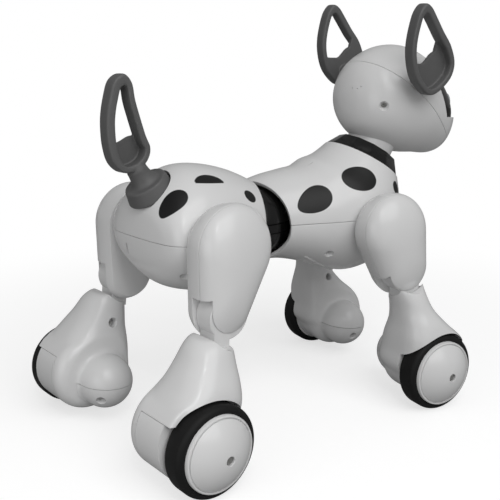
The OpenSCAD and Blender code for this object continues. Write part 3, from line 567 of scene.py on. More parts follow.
# Battery door: a moulded lid of the same white ABS, curved like the belly,
# that clips between the edges of its opening.
LID_HIGH = 112
door = treated(as_mesh(kept_side(rear_skin, *BELOW_SEAM)), SHELL)
door = combined(door, "INTERSECT", block(
    (DOOR_X - DOOR_L / 2, -DOOR_W / 2, BELLY_LOW), (DOOR_X + DOOR_L / 2, DOOR_W / 2, LID_HIGH)))
piece("battery_lid", door, DOG, white_abs, "rear_torso", "white_plastic", "battery_door")
rear_skin.free()

# Waist: two black ABS barrels with a polished skin, fixed to the rear body,
# and between them the flat edge of the disc that turns with the front body.
WAIST_Z = 143
BARREL_R = 33.5
BARREL_REACH = {"upper": 29, "lower": 25}
BARREL_SQUARENESS = 2.1
BARREL_CAP = 0.985
BARREL_CHAMFER = 0.5
BARREL_STEPS = 24
BARREL_BACK = -19
DISC_H = 6

# Gloss ABS from a polished mould, black all through: almost no tone of its own, only clear reflections.
black_abs = surface("moulded_gloss_black_abs", "#090909", "#0F0F0F", 0.2, 30, 5, 0.003, 0.05, 0.4)


def barrel_radius(z, reach):
    """Radius of a waist barrel at a height from the middle of the waist."""
    return BARREL_R * (1 - (z / reach) ** BARREL_SQUARENESS) ** (1 / BARREL_SQUARENESS)


for half, turn in (("upper", 1), ("lower", -1)):
    start = DISC_H / 2 + FIT_GAP
    reach = BARREL_REACH[half]
    heights = [start + (reach * BARREL_CAP - start) * math.sin(a) for a in quarter_turn(BARREL_STEPS)]
    profile = [(0, start), (barrel_radius(start, reach) - BARREL_CHAMFER, start)]
    profile += [(barrel_radius(z, reach), z + BARREL_CHAMFER * (z == start)) for z in heights]
    profile.append((0, heights[-1]))
    place = Matrix.Translation((WAIST_X, 0, WAIST_Z)) @ Matrix.Diagonal((1, 1, turn, 1))
    barrel = lathed(profile, 160, place)
    bmesh.ops.recalc_face_normals(barrel, faces=barrel.faces)
    front_part = kept_side(barrel, (WAIST_X + BARREL_BACK, 0, 0), (-1, 0, 0))
    bmesh.ops.holes_fill(front_part, edges=front_part.edges)
    barrel.free()
    piece("waist_" + half + "_barrel", as_mesh(front_part), DOG, black_abs, "rear_torso", "black_plastic",
          "waist_barrel_" + half)


def coat(node, material):
    """Gives a material to a solid of the part that stays as it is."""
    frame["nodes"][node].data.materials.clear()
    frame["nodes"][node].data.materials.append(material)


coat("waist_disc", black_abs)

# Front body: two white ABS shells moulded and printed like those of the rear body, bent up to the neck.
# The chest carries a screw well on either side, a fine bead along the belly and two narrow slits on the back.
WAIST_TURN = -11.6
FRONT_RIM_SLOPE = math.tan(math.radians(27))
NECK_X = WAIST_X + 105.7
NECK_Z = 182.6
NECK_TILT = 31.5
COLLAR_R = 32.5
SLIT_X = 153.8
SLIT_L = 5
SLIT_Y = 9.4
SLIT_W = 0.9
SLIT_LOW = 170
SLIT_HIGH = 200
BEAD_R = 0.9
BEAD_STATIONS = (1.67, 2.71)
BEAD_ANGLES = (40.5, 10)
BEAD_STEPS = 32
STRAIGHT_DOWN = 270

# Stations along the front body: distance from the waist, height, tilt in degrees, reach up, reach down
# and share of the half width.
FRONT_SHAPE = [
    (-3, 142, 0, 31.5, 29, 0.71), (18, 142, 5, 36.6, 28.5, 0.78), (40, 142, 13, 40.3, 36, 0.87),
    (64, 145, 25, 42.7, 54, 0.965), (85, 155, 41, 44.5, 60, 0.99), (98, 168, 53, 39.5, 46, 0.87),
]
FRONT_STATIONS = [
    (WAIST_X + x, z, tilt, up, down, HALF_WIDTH * half)
    for x, z, tilt, up, down, half in FRONT_SHAPE
]
FRONT_STATIONS.append((NECK_X, NECK_Z, 90 - NECK_TILT, COLLAR_R, COLLAR_R, COLLAR_R))
FRONT_WELLS = [((159.5, side * 33.3, 118.8), (-0.25, side * 0.71, -0.65)) for side in (-1, 1)]
FRONT_SPOTS = spots_on((1, -1), [
    ((143.5, -35.7, 162.4), (157, -36.5, 168.6), 10, 0.25, False),
    ((182.5, -37.5, 175.7), (197, -38.5, 173), 10.5, 0, False),
    ((221.2, -34, 164.9), (224, -31, 160), 5, 0, False),
])


def turned_about(place, *turns):
    """Turn about a place, as angle and axis pairs from the outermost one in."""
    matrix = Matrix.Translation(place)
    for angle, axis in turns:
        matrix = matrix @ Matrix.Rotation(math.radians(angle), 4, axis)
    return matrix @ Matrix.Translation(-Vector(place))


def front_point(u, angle):
    x, z, tilt, up, down, half = along(FRONT_STATIONS, u)
    reach = (up if math.sin(angle) > 0 else down) * math.sin(angle)
    tilt = math.radians(tilt)
    return Vector((x - reach * math.sin(tilt), half * math.cos(angle), z + reach * math.cos(tilt)))


def tube(path, radius, sides=12):
    """Round bead along a path of points."""
    rings = []
    for i, place in enumerate(path):
        run = path[min(i + 1, len(path) - 1)] - path[max(i - 1, 0)]
        turn = UP.rotation_difference(run)
        section = [Vector((radius * math.cos(a), radius * math.sin(a), 0)) for a in full_turn(sides)]
        rings.append([place + turn @ p for p in section])
    return skin_of(rings, True, True)


def front_rim(y):
    return WAIST_X + rim_slope(y, FRONT_RIM_SLOPE)


FRONT = DOG @ turned_about((WAIST_X, 0, 0), (WAIST_TURN, "Z"))
front_firsts = [
    rim_station(front_point, front_rim, angle, len(FRONT_STATIONS)) for angle in full_turn(SHELL_COLUMNS)
]
front_skin = body_skin(front_point, front_firsts, [len(FRONT_STATIONS) - 1] * SHELL_COLUMNS)
front_upper = half_shell(front_skin, *ABOVE_SEAM)
slits = [
    block((SLIT_X, side * SLIT_Y - SLIT_W / 2, SLIT_LOW),
          (SLIT_X + SLIT_L, side * SLIT_Y + SLIT_W / 2, SLIT_HIGH))
    for side in (-1, 1)
]
front_upper = combined(front_upper, "DIFFERENCE", *slits)
print_spots(front_upper, FRONT_SPOTS)
piece("front_upper_body", front_upper, FRONT, spotted_abs, "front_torso", "white_plastic",
      "front_upper_shell")
front_lower = half_shell(front_skin, *BELOW_SEAM)
front_lower = with_wells(front_lower, FRONT_WELLS, WELL_R, WELL_MOUTH_R)
for side in (-1, 1):
    path = []
    for t in shares(BEAD_STEPS):
        station = BEAD_STATIONS[0] + (BEAD_STATIONS[1] - BEAD_STATIONS[0]) * t
        aside = BEAD_ANGLES[0] + (BEAD_ANGLES[1] - BEAD_ANGLES[0]) * t
        path.append(front_point(station, math.radians(STRAIGHT_DOWN + side * aside)))
    front_lower = combined(front_lower, "UNION", tube(path, BEAD_R))
print_spots(front_lower, FRONT_SPOTS)
piece("front_lower_body", front_lower, FRONT, spotted_abs, "front_torso", "white_plastic",
      "front_lower_shell")
screws("front_body_screws", FRONT_WELLS, FRONT, "front_torso")
front_skin.free()

# Collar: a twelve-sided ring moulded in polished black ABS, with its edges slightly rounded.
# It clips over the neck opening of the front body and hides the bearing of the head.
COLLAR_TOP_R = 25
COLLAR_H = 11.7
COLLAR_SIDES = 12
COLLAR_BEVEL = rounded(0.7, 3, 20)
NECK_R = 19
MOVE_GAP = 0.6
NECK = Matrix.Translation((NECK_X, 0, NECK_Z)) @ Matrix.Rotation(math.radians(NECK_TILT), 4, "Y")
collar_hole_r = NECK_R + MOVE_GAP
collar_profile = [(COLLAR_R, 0), (COLLAR_TOP_R, COLLAR_H), (collar_hole_r, COLLAR_H), (collar_hole_r, 0)]
collar = treated(as_mesh(lathed(collar_profile, COLLAR_SIDES, NECK)), COLLAR_BEVEL)
piece("faceted_collar", collar, FRONT, black_abs, "front_torso", "black_plastic", "collar")

# Neck: a ring moulded in white ABS, fixed under the head.
# It turns with the head on a post that goes up through the collar.
HEAD_TURN = 6.5
NECK_RING_H = 28
NECK_CHAMFER = 0.5
POST_HOLE_R = 7.1
HEAD = FRONT @ turned_about((NECK_X, 0, NECK_Z), (NECK_TILT, "Y"), (HEAD_TURN, "Z"), (-NECK_TILT, "Y"))
neck_profile = [
    (POST_HOLE_R, FIT_GAP), (NECK_R - NECK_CHAMFER, FIT_GAP), (NECK_R, FIT_GAP + NECK_CHAMFER),
    (NECK_R, NECK_RING_H), (POST_HOLE_R, NECK_RING_H),
]
neck_ring = as_mesh(lathed(neck_profile, 96, NECK))
piece("neck_collar_ring", neck_ring, HEAD, white_abs, "head", "white_plastic", "neck_ring")

# Head: a back shell moulded in white ABS like those of the body, with three small loudspeaker holes.
# Screws in two deep wells hold it to the face shell along a slanted seam.

# Stations along the head: distance ahead of the neck, height over it, reach up, reach down and half width.
HEAD_SHAPE = [
    (-19.5, 51, 3, 3, 4), (-18, 51, 12, 12, 13), (-13, 51, 23, 23, 24), (-3, 51, 33, 32.5, 33),
    (14, 50, 41, 39.5, 38.7), (34, 48, 43, 41.5, 39.5), (53, 44.5, 38.5, 39.5, 36.4),
    (69, 39, 29.5, 35.5, 31.2), (79.5, 34, 18.8, 26.5, 22), (85, 31.2, 5, 8.5, 6.5),
]
HEAD_STATIONS = [(NECK_X + x, NECK_Z + z, up, down, half) for x, z, up, down, half in HEAD_SHAPE]
SPLIT = Vector((NECK_X - 2.7, 0, NECK_Z + 74.4))
SPLIT_TILT = math.radians(36.9)
split_normal = Vector((math.sin(SPLIT_TILT), 0, math.cos(SPLIT_TILT)))
HEAD_WELLS = [((203.8, side * 29.4, 230.1), (-0.66, side * 0.75, -0.1)) for side in (-1, 1)]
SPEAKER_HOLES = [(-4.5, 59.1), (-9.6, 59), (-12.1, 60.8)]
SPEAKER_HOLE_R = 0.5
SPEAKER_REACH = 30


def head_point(u, angle):
    return oval(along(HEAD_STATIONS, u), angle)


def added(mesh, *others):
    """A mesh with other meshes put into it."""
    for other in others:
        data = as_mesh(other)
        mesh.from_mesh(data)
        bpy.data.meshes.remove(data)
    return mesh


head_span = ([0] * SHELL_COLUMNS, [len(HEAD_STATIONS) - 1] * SHELL_COLUMNS)
whole_head = body_skin(head_point, *head_span, True, True)
head_back = half_shell(whole_head, SPLIT - split_normal * SEAM / 2, split_normal)
speaker_bars = [
    bar((NECK_X - SPEAKER_REACH, y, NECK_Z + z), (1, 0, 0), SPEAKER_HOLE_R, SPEAKER_REACH, 16)
    for y, z in SPEAKER_HOLES
]
head_back = combined(head_back, "DIFFERENCE", added(bmesh.new(), *speaker_bars))
head_back = with_wells(head_back, HEAD_WELLS, WELL_R, WELL_MOUTH_R)
piece("head_back", head_back, HEAD, white_abs, "head", "white_plastic", "head_rear_shell")
screws("head_screws", HEAD_WELLS, HEAD, "head")

# Face: a shell moulded in white ABS with openings for the nose and for a visor of gloss black ABS.
# The visor sits a little below the skin of the face and has two round seats for the lenses.

# Outline of the visor: distance to the side and height over the middle of the eyes.
VISOR_POINTS = [(0, 15), (18, 16), (44, 20), (44, -7), (36, -8), (28, -10), (17, -13), (8, -9), (0, -7)]
VISOR_POINTS += [(-x, y) for x, y in VISOR_POINTS[-2:0:-1]]
VISOR_BACK = NECK_X + 53.4
VISOR_SLANT = math.radians(28.6)
VISOR_SET = 3
VISOR_REACH = 150
LEAST_REACH = 1
CURVE_STEPS = 10
EYE = Vector((NECK_X + 74, 17, NECK_Z + 46))
EYE_R = 8.5
EYE_TURN = math.radians(32)
EYE_DEPTH = 8
EYE_GAP = 0.05
EYE_CLEAR = 20
NOSE = Vector((NECK_X + 77.5, 0, NECK_Z + 23))
NOSE_R = 6.5
NOSE_GAP = 0.15


def closed_curve(points):
    """Smooth closed curve through a ring of points."""
    count = len(points)
    stations = [points[(i - 1) % count] for i in range(count + 3)]
    return [along(stations, 1 + i / CURVE_STEPS) for i in range(count * CURVE_STEPS)]


def visor_column(gap):
    """Bar along the head with the outline of the visor, cut off slantwise at the back."""
    widened = [(y + gap * (y > 0) - gap * (y < 0), z + math.copysign(gap, z)) for y, z in VISOR_POINTS]
    outline = closed_curve(widened)
    ends = (NECK_X, NECK_X + VISOR_REACH)
    whole = skin_of([[Vector((x, y, EYE.z + z)) for y, z in outline] for x in ends], True, True)
    backward = (-math.cos(VISOR_SLANT), 0, -math.sin(VISOR_SLANT))
    front_part = kept_side(whole, (VISOR_BACK - gap, 0, EYE.z), backward)
    bmesh.ops.holes_fill(front_part, edges=front_part.edges)
    whole.free()
    return front_part


def visor_point(u, angle):
    x, z, *reaches = along(HEAD_STATIONS, u)
    return oval((x, z, *(max(reach - VISOR_SET, LEAST_REACH) for reach in reaches)), angle)


def ball_profile(radius, steps=32):
    """Profile of a ball with closed poles."""
    turns = [math.pi * i / steps for i in range(1, steps)]
    return [(0, -radius)] + [(radius * math.sin(a), -radius * math.cos(a)) for a in turns] + [(0, radius)]


face = half_shell(whole_head, SPLIT + split_normal * SEAM / 2, -split_normal)
nose_seat = lathed(ball_profile(NOSE_R + NOSE_GAP), 64, Matrix.Translation(NOSE))
face = combined(face, "DIFFERENCE", visor_column(FIT_GAP), nose_seat)
piece("head_face", face, HEAD, white_abs, "head", "white_plastic", "face_shell")
whole_head.free()
visor = combined(as_mesh(body_skin(visor_point, *head_span, True, True)), "INTERSECT", visor_column(0))
lens_places = [
    Matrix.Translation(Vector((EYE.x, side * EYE.y, EYE.z))) @ Matrix.Rotation(side * EYE_TURN, 4, "Z")
    @ Matrix.Rotation(math.pi / 2, 4, "Y") for side in (-1, 1)
]
eye_seat = cylinder(EYE_R + EYE_GAP, -EYE_DEPTH, EYE_CLEAR)
visor = combined(visor, "DIFFERENCE", *(lathed(eye_seat, 64, place) for place in lens_places))
piece("dark_visor", visor, HEAD, black_abs, "head", "black_plastic", "visor")

# Lenses and nose: two low domes moulded in smoky plastic, pressed into the seats of the visor,
# and a ball of gloss black ABS pressed into its seat under them.
LENS_EDGE = 0.6
LENS_DOME = 3
LENS_STEPS = 20

# Tinted plastic from a polished mould: a smoky grey under small sharp highlights.
lens_plastic = surface("moulded_smoky_lens", "#8F9396", "#9A9EA1", 0.1, 10, 4, 0.002, 0.04)
lens_profile = [(0, -EYE_DEPTH), (EYE_R, -EYE_DEPTH)]
for turn in quarter_turn(LENS_STEPS)[:-1]:
    lens_profile.append((EYE_R * math.cos(turn), LENS_EDGE + LENS_DOME * math.sin(turn)))
lens_profile.append((0, LENS_EDGE + LENS_DOME))
lenses = added(bmesh.new(), *(lathed(lens_profile, 64, place) for place in lens_places))
piece("domed_lenses", as_mesh(lenses), HEAD, lens_plastic, "head", "clear_plastic", "eye_lenses")
nose = lathed(ball_profile(NOSE_R), 64, Matrix.Translation(NOSE))
piece("round_nose", as_mesh(nose), HEAD, black_abs, "head", "black_plastic", "nose")

# Ears: dark grey rubber loops like leaves, moulded in one piece with a web across the lower third
# and a shoulder that goes into the head at the seam.
EAR_H = 64.5
EAR_W = 46.5
EAR_DEPTH = 9
EAR_Y = 50
EAR_X = NECK_X + 13.3
EAR_Z = NECK_Z + 57
EAR_PEG_AHEAD = 4
EAR_PEG_UP = 11
EAR_RIM_TOP = 2.6
EAR_VOXEL = 0.55
EAR_ROUNDS = 3
LOOP_RIM = 4.6
LOOP_MERGE = 0.001
RIM_POWER = 0.4
RIM_SECTIONS = 24
WEB_T = 3
WEB_STEPS = 24

# Outline of an ear and the upper edge of its web, in shares of the ear's width and height,
# and the profile of its shoulder, by radius and distance from the middle of the ear.
EAR_POINTS = [
    (0.05, 0), (0.26, 0.055), (0.475, 0.2), (0.525, 0.37), (0.4, 0.56), (0.19, 0.72), (0, 0.875),
    (-0.12, 0.965), (-0.24, 1), (-0.34, 0.94), (-0.41, 0.83), (-0.47, 0.6), (-0.45, 0.4), (-0.34, 0.2),
    (-0.13, 0.05),
]
EAR_SHOULDER = [(0, 3.5), (6.5, 3.5), (6, 10), (6, 20), (0, 20)]
EAR_WEB = [(-1, 0.36), (-0.1, 0.35), (0.16, 0.48), (0.21, 0.61), (0.26, 0.68), (1, 0.7)]

# Soft rubber from a lightly etched mould: dark grey, broad dull highlights and a fine grain.
grey_rubber = surface("moulded_dark_grey_rubber", "#565656", "#606060", 0.55, 18, 0.8, 0.02, 0.1)


def leaf_outline(points, height, width, share, top=0, back=0):
    """Outline of a leaf, moved inwards by a share of its rim, which is thicker at the top and the back."""
    curve = [Vector((x * width, z * height)) for x, z in closed_curve(points)]
    count = len(curve)
    moved = []
    for i, place in enumerate(curve):
        run = (curve[(i + 1) % count] - curve[i - 1]).normalized()
        inward = Vector((-run.y, run.x))
        rim = LOOP_RIM + top * max(-inward.y, 0) ** 2 + back * max(inward.x, 0) ** 2
        moved.append(place + share * rim * inward)
    return moved


def web_height(web, share):
    """Height of the upper edge of a web across the leaf, as a share of the leaf's height."""
    for (x0, z0), (x1, z1) in zip(web, web[1:]):
        if share <= x1:
            t = (share - x0) / (x1 - x0)
            return z0 + (z1 - z0) * t * t * (3 - 2 * t)
    return web[-1][1]


def leaf(points, web, height, width, depth, web_y, top, back):
    """Rounded rim round a leaf outline and the web in its lower part, standing in X and Z."""
    rims = []
    for turn in full_turn(RIM_SECTIONS):
        across = math.copysign(abs(math.cos(turn)) ** RIM_POWER, math.cos(turn))
        level = math.copysign(abs(math.sin(turn)) ** RIM_POWER, math.sin(turn)) * depth / 2
        outline = leaf_outline(points, height, width, (1 - across) / 2, top, back)
        rims.append([Vector((p.x, level, p.y)) for p in outline])
    mesh = skin_of(rims + rims[:1])
    bmesh.ops.remove_doubles(mesh, verts=mesh.verts, dist=LOOP_MERGE)
    outline = leaf_outline(points, height, width, 0.5)
    low = [p for p in outline if p.y < web_height(web, p.x / width) * height]
    start = next(i for i in range(len(low)) if (low[i] - low[i - 1]).length > LOOP_RIM)
    low = low[start:] + low[:start]
    across_top = [low[-1].x + (low[0].x - low[-1].x) * i / WEB_STEPS for i in range(1, WEB_STEPS)]
    low += [Vector((x, web_height(web, x / width) * height)) for x in across_top]
    sheet = skin_of([[Vector((p.x, y, p.y)) for p in low] for y in (web_y, web_y + WEB_T)], True, True)
    return added(mesh, sheet)


def fused(mesh, voxel, rounds):
    """Overlapping closed forms melted into one skin with rounded corners."""
    return treated(
        as_mesh(mesh), ("REMESH", {"mode": "VOXEL", "voxel_size": voxel}),
        ("SMOOTH", {"factor": 0.5, "iterations": rounds}))


for name, side in (("left", 1), ("right", -1)):
    ear = leaf(EAR_POINTS, EAR_WEB, EAR_H, EAR_W, EAR_DEPTH, -EAR_DEPTH / 2, EAR_RIM_TOP, 0)
    peg = Matrix.Translation((EAR_PEG_AHEAD, 0, EAR_PEG_UP)) @ Matrix.Rotation(math.pi / 2, 4, "X")
    ear = fused(added(ear, lathed(EAR_SHOULDER, 48, peg)), EAR_VOXEL, EAR_ROUNDS)
    place = HEAD @ Matrix.Diagonal((1, side, 1, 1)) @ Matrix.Translation((EAR_X, EAR_Y, EAR_Z))
    piece(name + "_ear_loop", ear, place, grey_rubber, "head", "grey_rubber", name + "_ear")

# Tail: a deeper loop of the same grey rubber, moulded in one piece with a bell-shaped foot and its lip.
# A plug under the foot turns in the seat on the rump.
TAIL_H = 64
TAIL_W = 33
TAIL_DEPTH = 11
TAIL_RIM_TOP = 3.4
TAIL_RIM_BACK = 1.8
TAIL_SHIFT = Vector((-10, 0, -1.5))
TAIL_VOXEL = 0.5
TAIL_ROUNDS = 2
TAIL_POINTS = [
    (0.1, 0), (0.36, 0.05), (0.52, 0.14), (0.562, 0.25), (0.46, 0.378), (0.33, 0.59), (0.25, 0.736),
    (0.19, 0.9), (0.02, 0.985), (-0.2, 0.92), (-0.315, 0.762), (-0.385, 0.6), (-0.405, 0.45),
    (-0.385, 0.28), (-0.3, 0.12), (-0.12, 0.02),
]
TAIL_WEB = [(-1, 0.27), (-0.1, 0.3), (0.28, 0.365), (1, 0.4)]
SKIRT_H = 21
LIP_H = 10.5
LIP_R = SKIRT_R - 2
BELL_R = 11.5
STEM_R = 7
BELL_STEPS = 16
BELL_ROUND = 1
LIP_CORNER = 0.3
PLUG_R = 7
PLUG_DEPTH = 14
bell = [
    (0, -PLUG_DEPTH), (PLUG_R, -PLUG_DEPTH), (PLUG_R, 0), (SKIRT_R - BELL_ROUND, 0), (SKIRT_R, BELL_ROUND),
    (LIP_R, LIP_H - BELL_ROUND), (LIP_R - LIP_CORNER, LIP_H - LIP_CORNER), (LIP_R - BELL_ROUND, LIP_H),
]
for turn in quarter_turn(BELL_STEPS):
    radius = BELL_R - (BELL_R - STEM_R) * math.sin(turn)
    bell.append((radius, LIP_H + (SKIRT_H - LIP_H) * (1 - math.cos(turn))))
bell += [(TAIL_DEPTH / 2, SKIRT_H + LOOP_RIM), (0, SKIRT_H + LOOP_RIM)]
tail = lathed(bell, 64, TAIL_PLACE)
tail_leaf = leaf(
    TAIL_POINTS, TAIL_WEB, TAIL_H, TAIL_W, TAIL_DEPTH, TAIL_DEPTH / 2 - WEB_T, TAIL_RIM_TOP, TAIL_RIM_BACK)
tail_leaf.transform(Matrix.Translation(TAIL_PLACE @ (UP * SKIRT_H) + TAIL_SHIFT))
tail = fused(added(tail, tail_leaf), TAIL_VOXEL, TAIL_ROUNDS)
piece("tail_loop", tail, DOG, grey_rubber, "tail_part", "grey_rubber", "tail")

# Thighs: each a pair of shells moulded in white ABS, domed to the outside and flat to the body,
# closed over the hip and the knee and forked at the foot for the tongue of the lower leg.
LEG_Y = 63
TYRE_R = 30
FRONT_AXLE_X = WAIST_X + 120
HIPS = {False: (43, 144), True: (FRONT_AXLE_X - 29, 139)}
AXLES = {False: 0, True: FRONT_AXLE_X}
LEANS = {False: -5, True: 5}
FLARES = {False: -1, True: 1}
KNEE_BACK = 26
KNEE_UP = 75
HIP_RS = {False: 29, True: 27.4}
KNEE_RS = {False: 18, True: 20.5}
THIGH_OUT = 15
THIGH_IN = LEG_Y - HALF_WIDTH - 1
THIGH_WIDE = -3
THIGH_FULL_IN = 26
PILLOW = 2.3
THIGH_ANCHOR = 0.35
THIGH_BEVEL = rounded(0.6, 2, 40)
THIGH_TIP = 0.002
OUTER_STEPS = 32
INNER_STEPS = 16
TONGUE_W = 15
TONGUE_R = 15.5
KNEE_SWING = 24
FORK_SWINGS = {False: 3, True: 1}
FORK_RUN = 50
FORK_STEPS = 24

# Legs: the name, whether it is a front leg, and the side (1 for the left). Other values that differ
# between rear and front are looked up by the same False and True.
LEGS = [
    ("left_rear", False, 1), ("right_rear", False, -1), ("left_front", True, 1), ("right_front", True, -1),
]


def knee_from_hip(front):
    """Knee of a leg, from its hip, in the plane of the leg."""
    lean = math.radians(LEANS[front])
    x = -KNEE_BACK * math.cos(lean) + KNEE_UP * math.sin(lean)
    z = KNEE_BACK * math.sin(lean) + KNEE_UP * math.cos(lean)
    hip_x, hip_z = HIPS[front]
    return Vector((AXLES[front] + FLARES[front] * x - hip_x, TYRE_R + z - hip_z))


def polar(radius, angle):
    return radius * Vector((math.cos(angle), math.sin(angle)))


def thigh_outline(front, steps=64, run=24):
    """Outline round the hip and the knee, joined by straight sides."""
    knee = knee_from_hip(front)
    heading = math.atan2(knee.y, knee.x)
    hip_r = HIP_RS[front]
    knee_r = KNEE_RS[front]
    turn = math.acos((hip_r - knee_r) / knee.length)
    hip_angles = [heading + turn + (2 * math.pi - 2 * turn) * t for t in shares(steps - 1)]
    knee_angles = [heading - turn + 2 * turn * t for t in shares(steps // 2 - 1)]
    round_hip = [polar(hip_r, a) for a in hip_angles]
    round_knee = [knee + polar(knee_r, a) for a in knee_angles]
    down = [round_hip[-1].lerp(round_knee[0], t) for t in shares(run)[1:-1]]
    back = [round_knee[-1].lerp(round_hip[0], t) for t in shares(run)[1:-1]]
    return round_hip + down + round_knee + back


def thigh_share(y):
    """Size of the thigh's section at a distance from its split plane, as a share of the largest."""
    t = (y - THIGH_WIDE) / (THIGH_OUT - THIGH_WIDE if y > THIGH_WIDE else THIGH_FULL_IN)
    return max(1 - abs(t) ** PILLOW, 0) ** (1 / PILLOW)


def thigh_half(front, levels):
    """Half of a thigh, through sections at some distances from its split plane."""
    outline = thigh_outline(front)
    middle = THIGH_ANCHOR * knee_from_hip(front)
    rings = []
    for y in levels:
        section = [middle + (p - middle) * thigh_share(y) for p in outline]
        rings.append([Vector((p.x, y, p.y)) for p in section])
    return skin_of(rings, True, True)


def knee_fork(front):
    """Space of the tongue over its whole swing, open to the back on the hind legs."""
    half = TONGUE_W / 2 + MOVE_GAP
    reach = TONGUE_R + MOVE_GAP
    lean = FLARES[front] * LEANS[front]
    first = math.radians(lean - KNEE_SWING)
    last = math.radians(lean + KNEE_SWING * FORK_SWINGS[front])
    outline = [polar(reach, -first) - polar(FORK_RUN, math.pi / 2 - first)]
    outline += [polar(reach, (math.pi - last + first) * t - first) for t in shares(FORK_STEPS)]
    outline.append(polar(reach, math.pi - last) - polar(FORK_RUN, math.pi / 2 - last))
    knee = knee_from_hip(front)
    rings = [[Vector((knee.x + p.x, y, knee.y + p.y)) for p in outline] for y in (-half, half)]
    return skin_of(rings, True, True)


outer_levels = [SEAM / 2 + (THIGH_OUT - SEAM / 2) * math.sin(a) for a in quarter_turn(OUTER_STEPS)[:-1]]
outer_levels.append(THIGH_OUT - THIGH_TIP)
inner_levels = [-THIGH_IN + (THIGH_IN - SEAM / 2) * t for t in shares(INNER_STEPS)]
thigh_meshes = {}
for front in (False, True):
    for half, levels in (("inner", inner_levels), ("outer", outer_levels)):
        shape = combined(as_mesh(thigh_half(front, levels)), "DIFFERENCE", knee_fork(front))
        thigh_meshes[front, half] = treated(shape, THIGH_BEVEL)


def leg_side(front, side):
    """Place of a leg's own plane, with Y to the outside."""
    half = FRONT if front else DOG
    return half @ Matrix.Diagonal((1, side, 1, 1)) @ Matrix.Translation((0, LEG_Y, 0))


for name, front, side in LEGS:
    hip = leg_side(front, side) @ Matrix.Translation((HIPS[front][0], 0, HIPS[front][1]))
    for half in ("inner", "outer"):
        piece(name + "_" + half + "_thigh", thigh_meshes[front, half].copy(), hip, white_abs, name + "_thigh",
              "white_plastic", name + "_thigh_" + half)

# Lower legs: moulded in white ABS, one smooth skin over the shin, the drum beside the wheel and the round
# gear housing. The heel cap and the gear cap are screwed on and share that skin.

# Stations up the shin: height over the axle, distance towards the heel cap, half length, distance out,
# half width and squareness of the section (2 for an ellipse).
SHIN_FOOT = [
    (-14, 2, 17, 3, 16, 3), (0, -1, 27, 3, 22, 4), (13, -0.5, 28, 4, 23.5, 4), (25, -3, 26, 6, 24.5, 3.4),
]
SHIN_TOPS = {
    False: [(36, -7, 22, 6.5, 22, 2.7), (47, -10.5, 18, 4.5, 18.5, 2.4), (57, -13, 15, 3, 15.2, 2.2),
            (62.5, -15, 11.5, 1.5, 11.5, 2.2)],
    True: [(36, -10, 19, 6.5, 21.5, 2.7), (47, -16.5, 14, 4.5, 17.5, 2.4), (58, -21.3, 12.5, 3, 15, 2.3),
           (68, -24, 12.5, 0.5, 13, 2.2)],
}
DRUM_XS = {False: 4.6, True: 2.5}
DRUM_Z = 4.5
DRUM_R = 27.8
DRUM_ROUND = 9
DRUM_STEPS = 12
DRUM_OVERLAP = 6
BOOT_IN = LEG_Y - 46
GEAR_AHEAD = 3
GEAR_Y = -22
GEAR_R = 19.5
GEAR_OVERLAP = 12
HALF_TRACKS = {False: 199 / 2, True: 184 / 2}
TYRE_W = 16.5
ARCH_R = TYRE_R + 1.5
HEEL_X = 13
HEEL_TOP = 19
HEEL_IN = -6
MELT = 0.5
FOOT_VOXEL = 1.0
FOOT_ROUNDS = 22
SHIN_STEPS = 10
KNEE_LIP = 1.4
KNEE_CUP_RS = {False: 19.5, True: 14}
KNEE_STEPS = 12
TONGUE_CHAMFER = 0.6
SHANK_FRONT = {False: 1, True: 4}
SHANK_BACK = 11.5
SHANK_DOWN = 23
FAR_ASIDE = 80
FAR = 100
OPEN_WELL_R = 3.1
OPEN_WELL_MOUTH_R = OPEN_WELL_R + 0.7
SHIN_WELLS = [((-11.7, -14.4, 41.6), (0.03, -0.97, 0.2))]
CAP_SCREW_FACING = {False: Vector((0.57, -0.68, -0.46)), True: Vector((-0.03, -0.92, -0.39))}


def along_y(x, z, y=0):
    """Place of a turned piece whose axis points outwards, along Y."""
    return Matrix.Translation((x, y, z)) @ Matrix.Rotation(-math.pi / 2, 4, "X")


def squared(v, squareness):
    return math.copysign(abs(v) ** (2 / squareness), v)


def shin_ring(station, count=96):
    """Ring of points round the shin at a station, a little outside to make up for the smoothing."""
    z, x, half_length, y, half_width, squareness = station
    return [
        Vector((x + (half_length + MELT) * squared(math.cos(a), squareness),
                y + (half_width + MELT) * squared(math.sin(a), squareness), z)) for a in full_turn(count)
    ]


def knee_space(front, gap):
    """Space round the knee that keeps the lower leg clear of the thigh's rounded end."""
    levels = [THIGH_OUT * i / KNEE_STEPS for i in range(-KNEE_STEPS, KNEE_STEPS)]
    reaches = []
    for y in levels:
        share = thigh_share(y)
        rise = (1 - share) * (1 - THIGH_ANCHOR) * knee_from_hip(front).length
        squared_reach = max((KNEE_RS[front] * share) ** 2 - rise ** 2, KNEE_CUP_RS[front] ** 2)
        reaches.append(gap + math.sqrt(squared_reach))
    profile = [(0, -FAR_ASIDE), (reaches[0], -FAR_ASIDE), *zip(reaches, levels)]
    profile += [(reaches[-1], FAR_ASIDE), (0, FAR_ASIDE)]
    return lathed(profile, 128, along_y(-KNEE_BACK, KNEE_UP))


def wheel_face(front):
    """Distance from the plane of the leg out to the room of the wheel."""
    return HALF_TRACKS[front] - LEG_Y - TYRE_W - MOVE_GAP


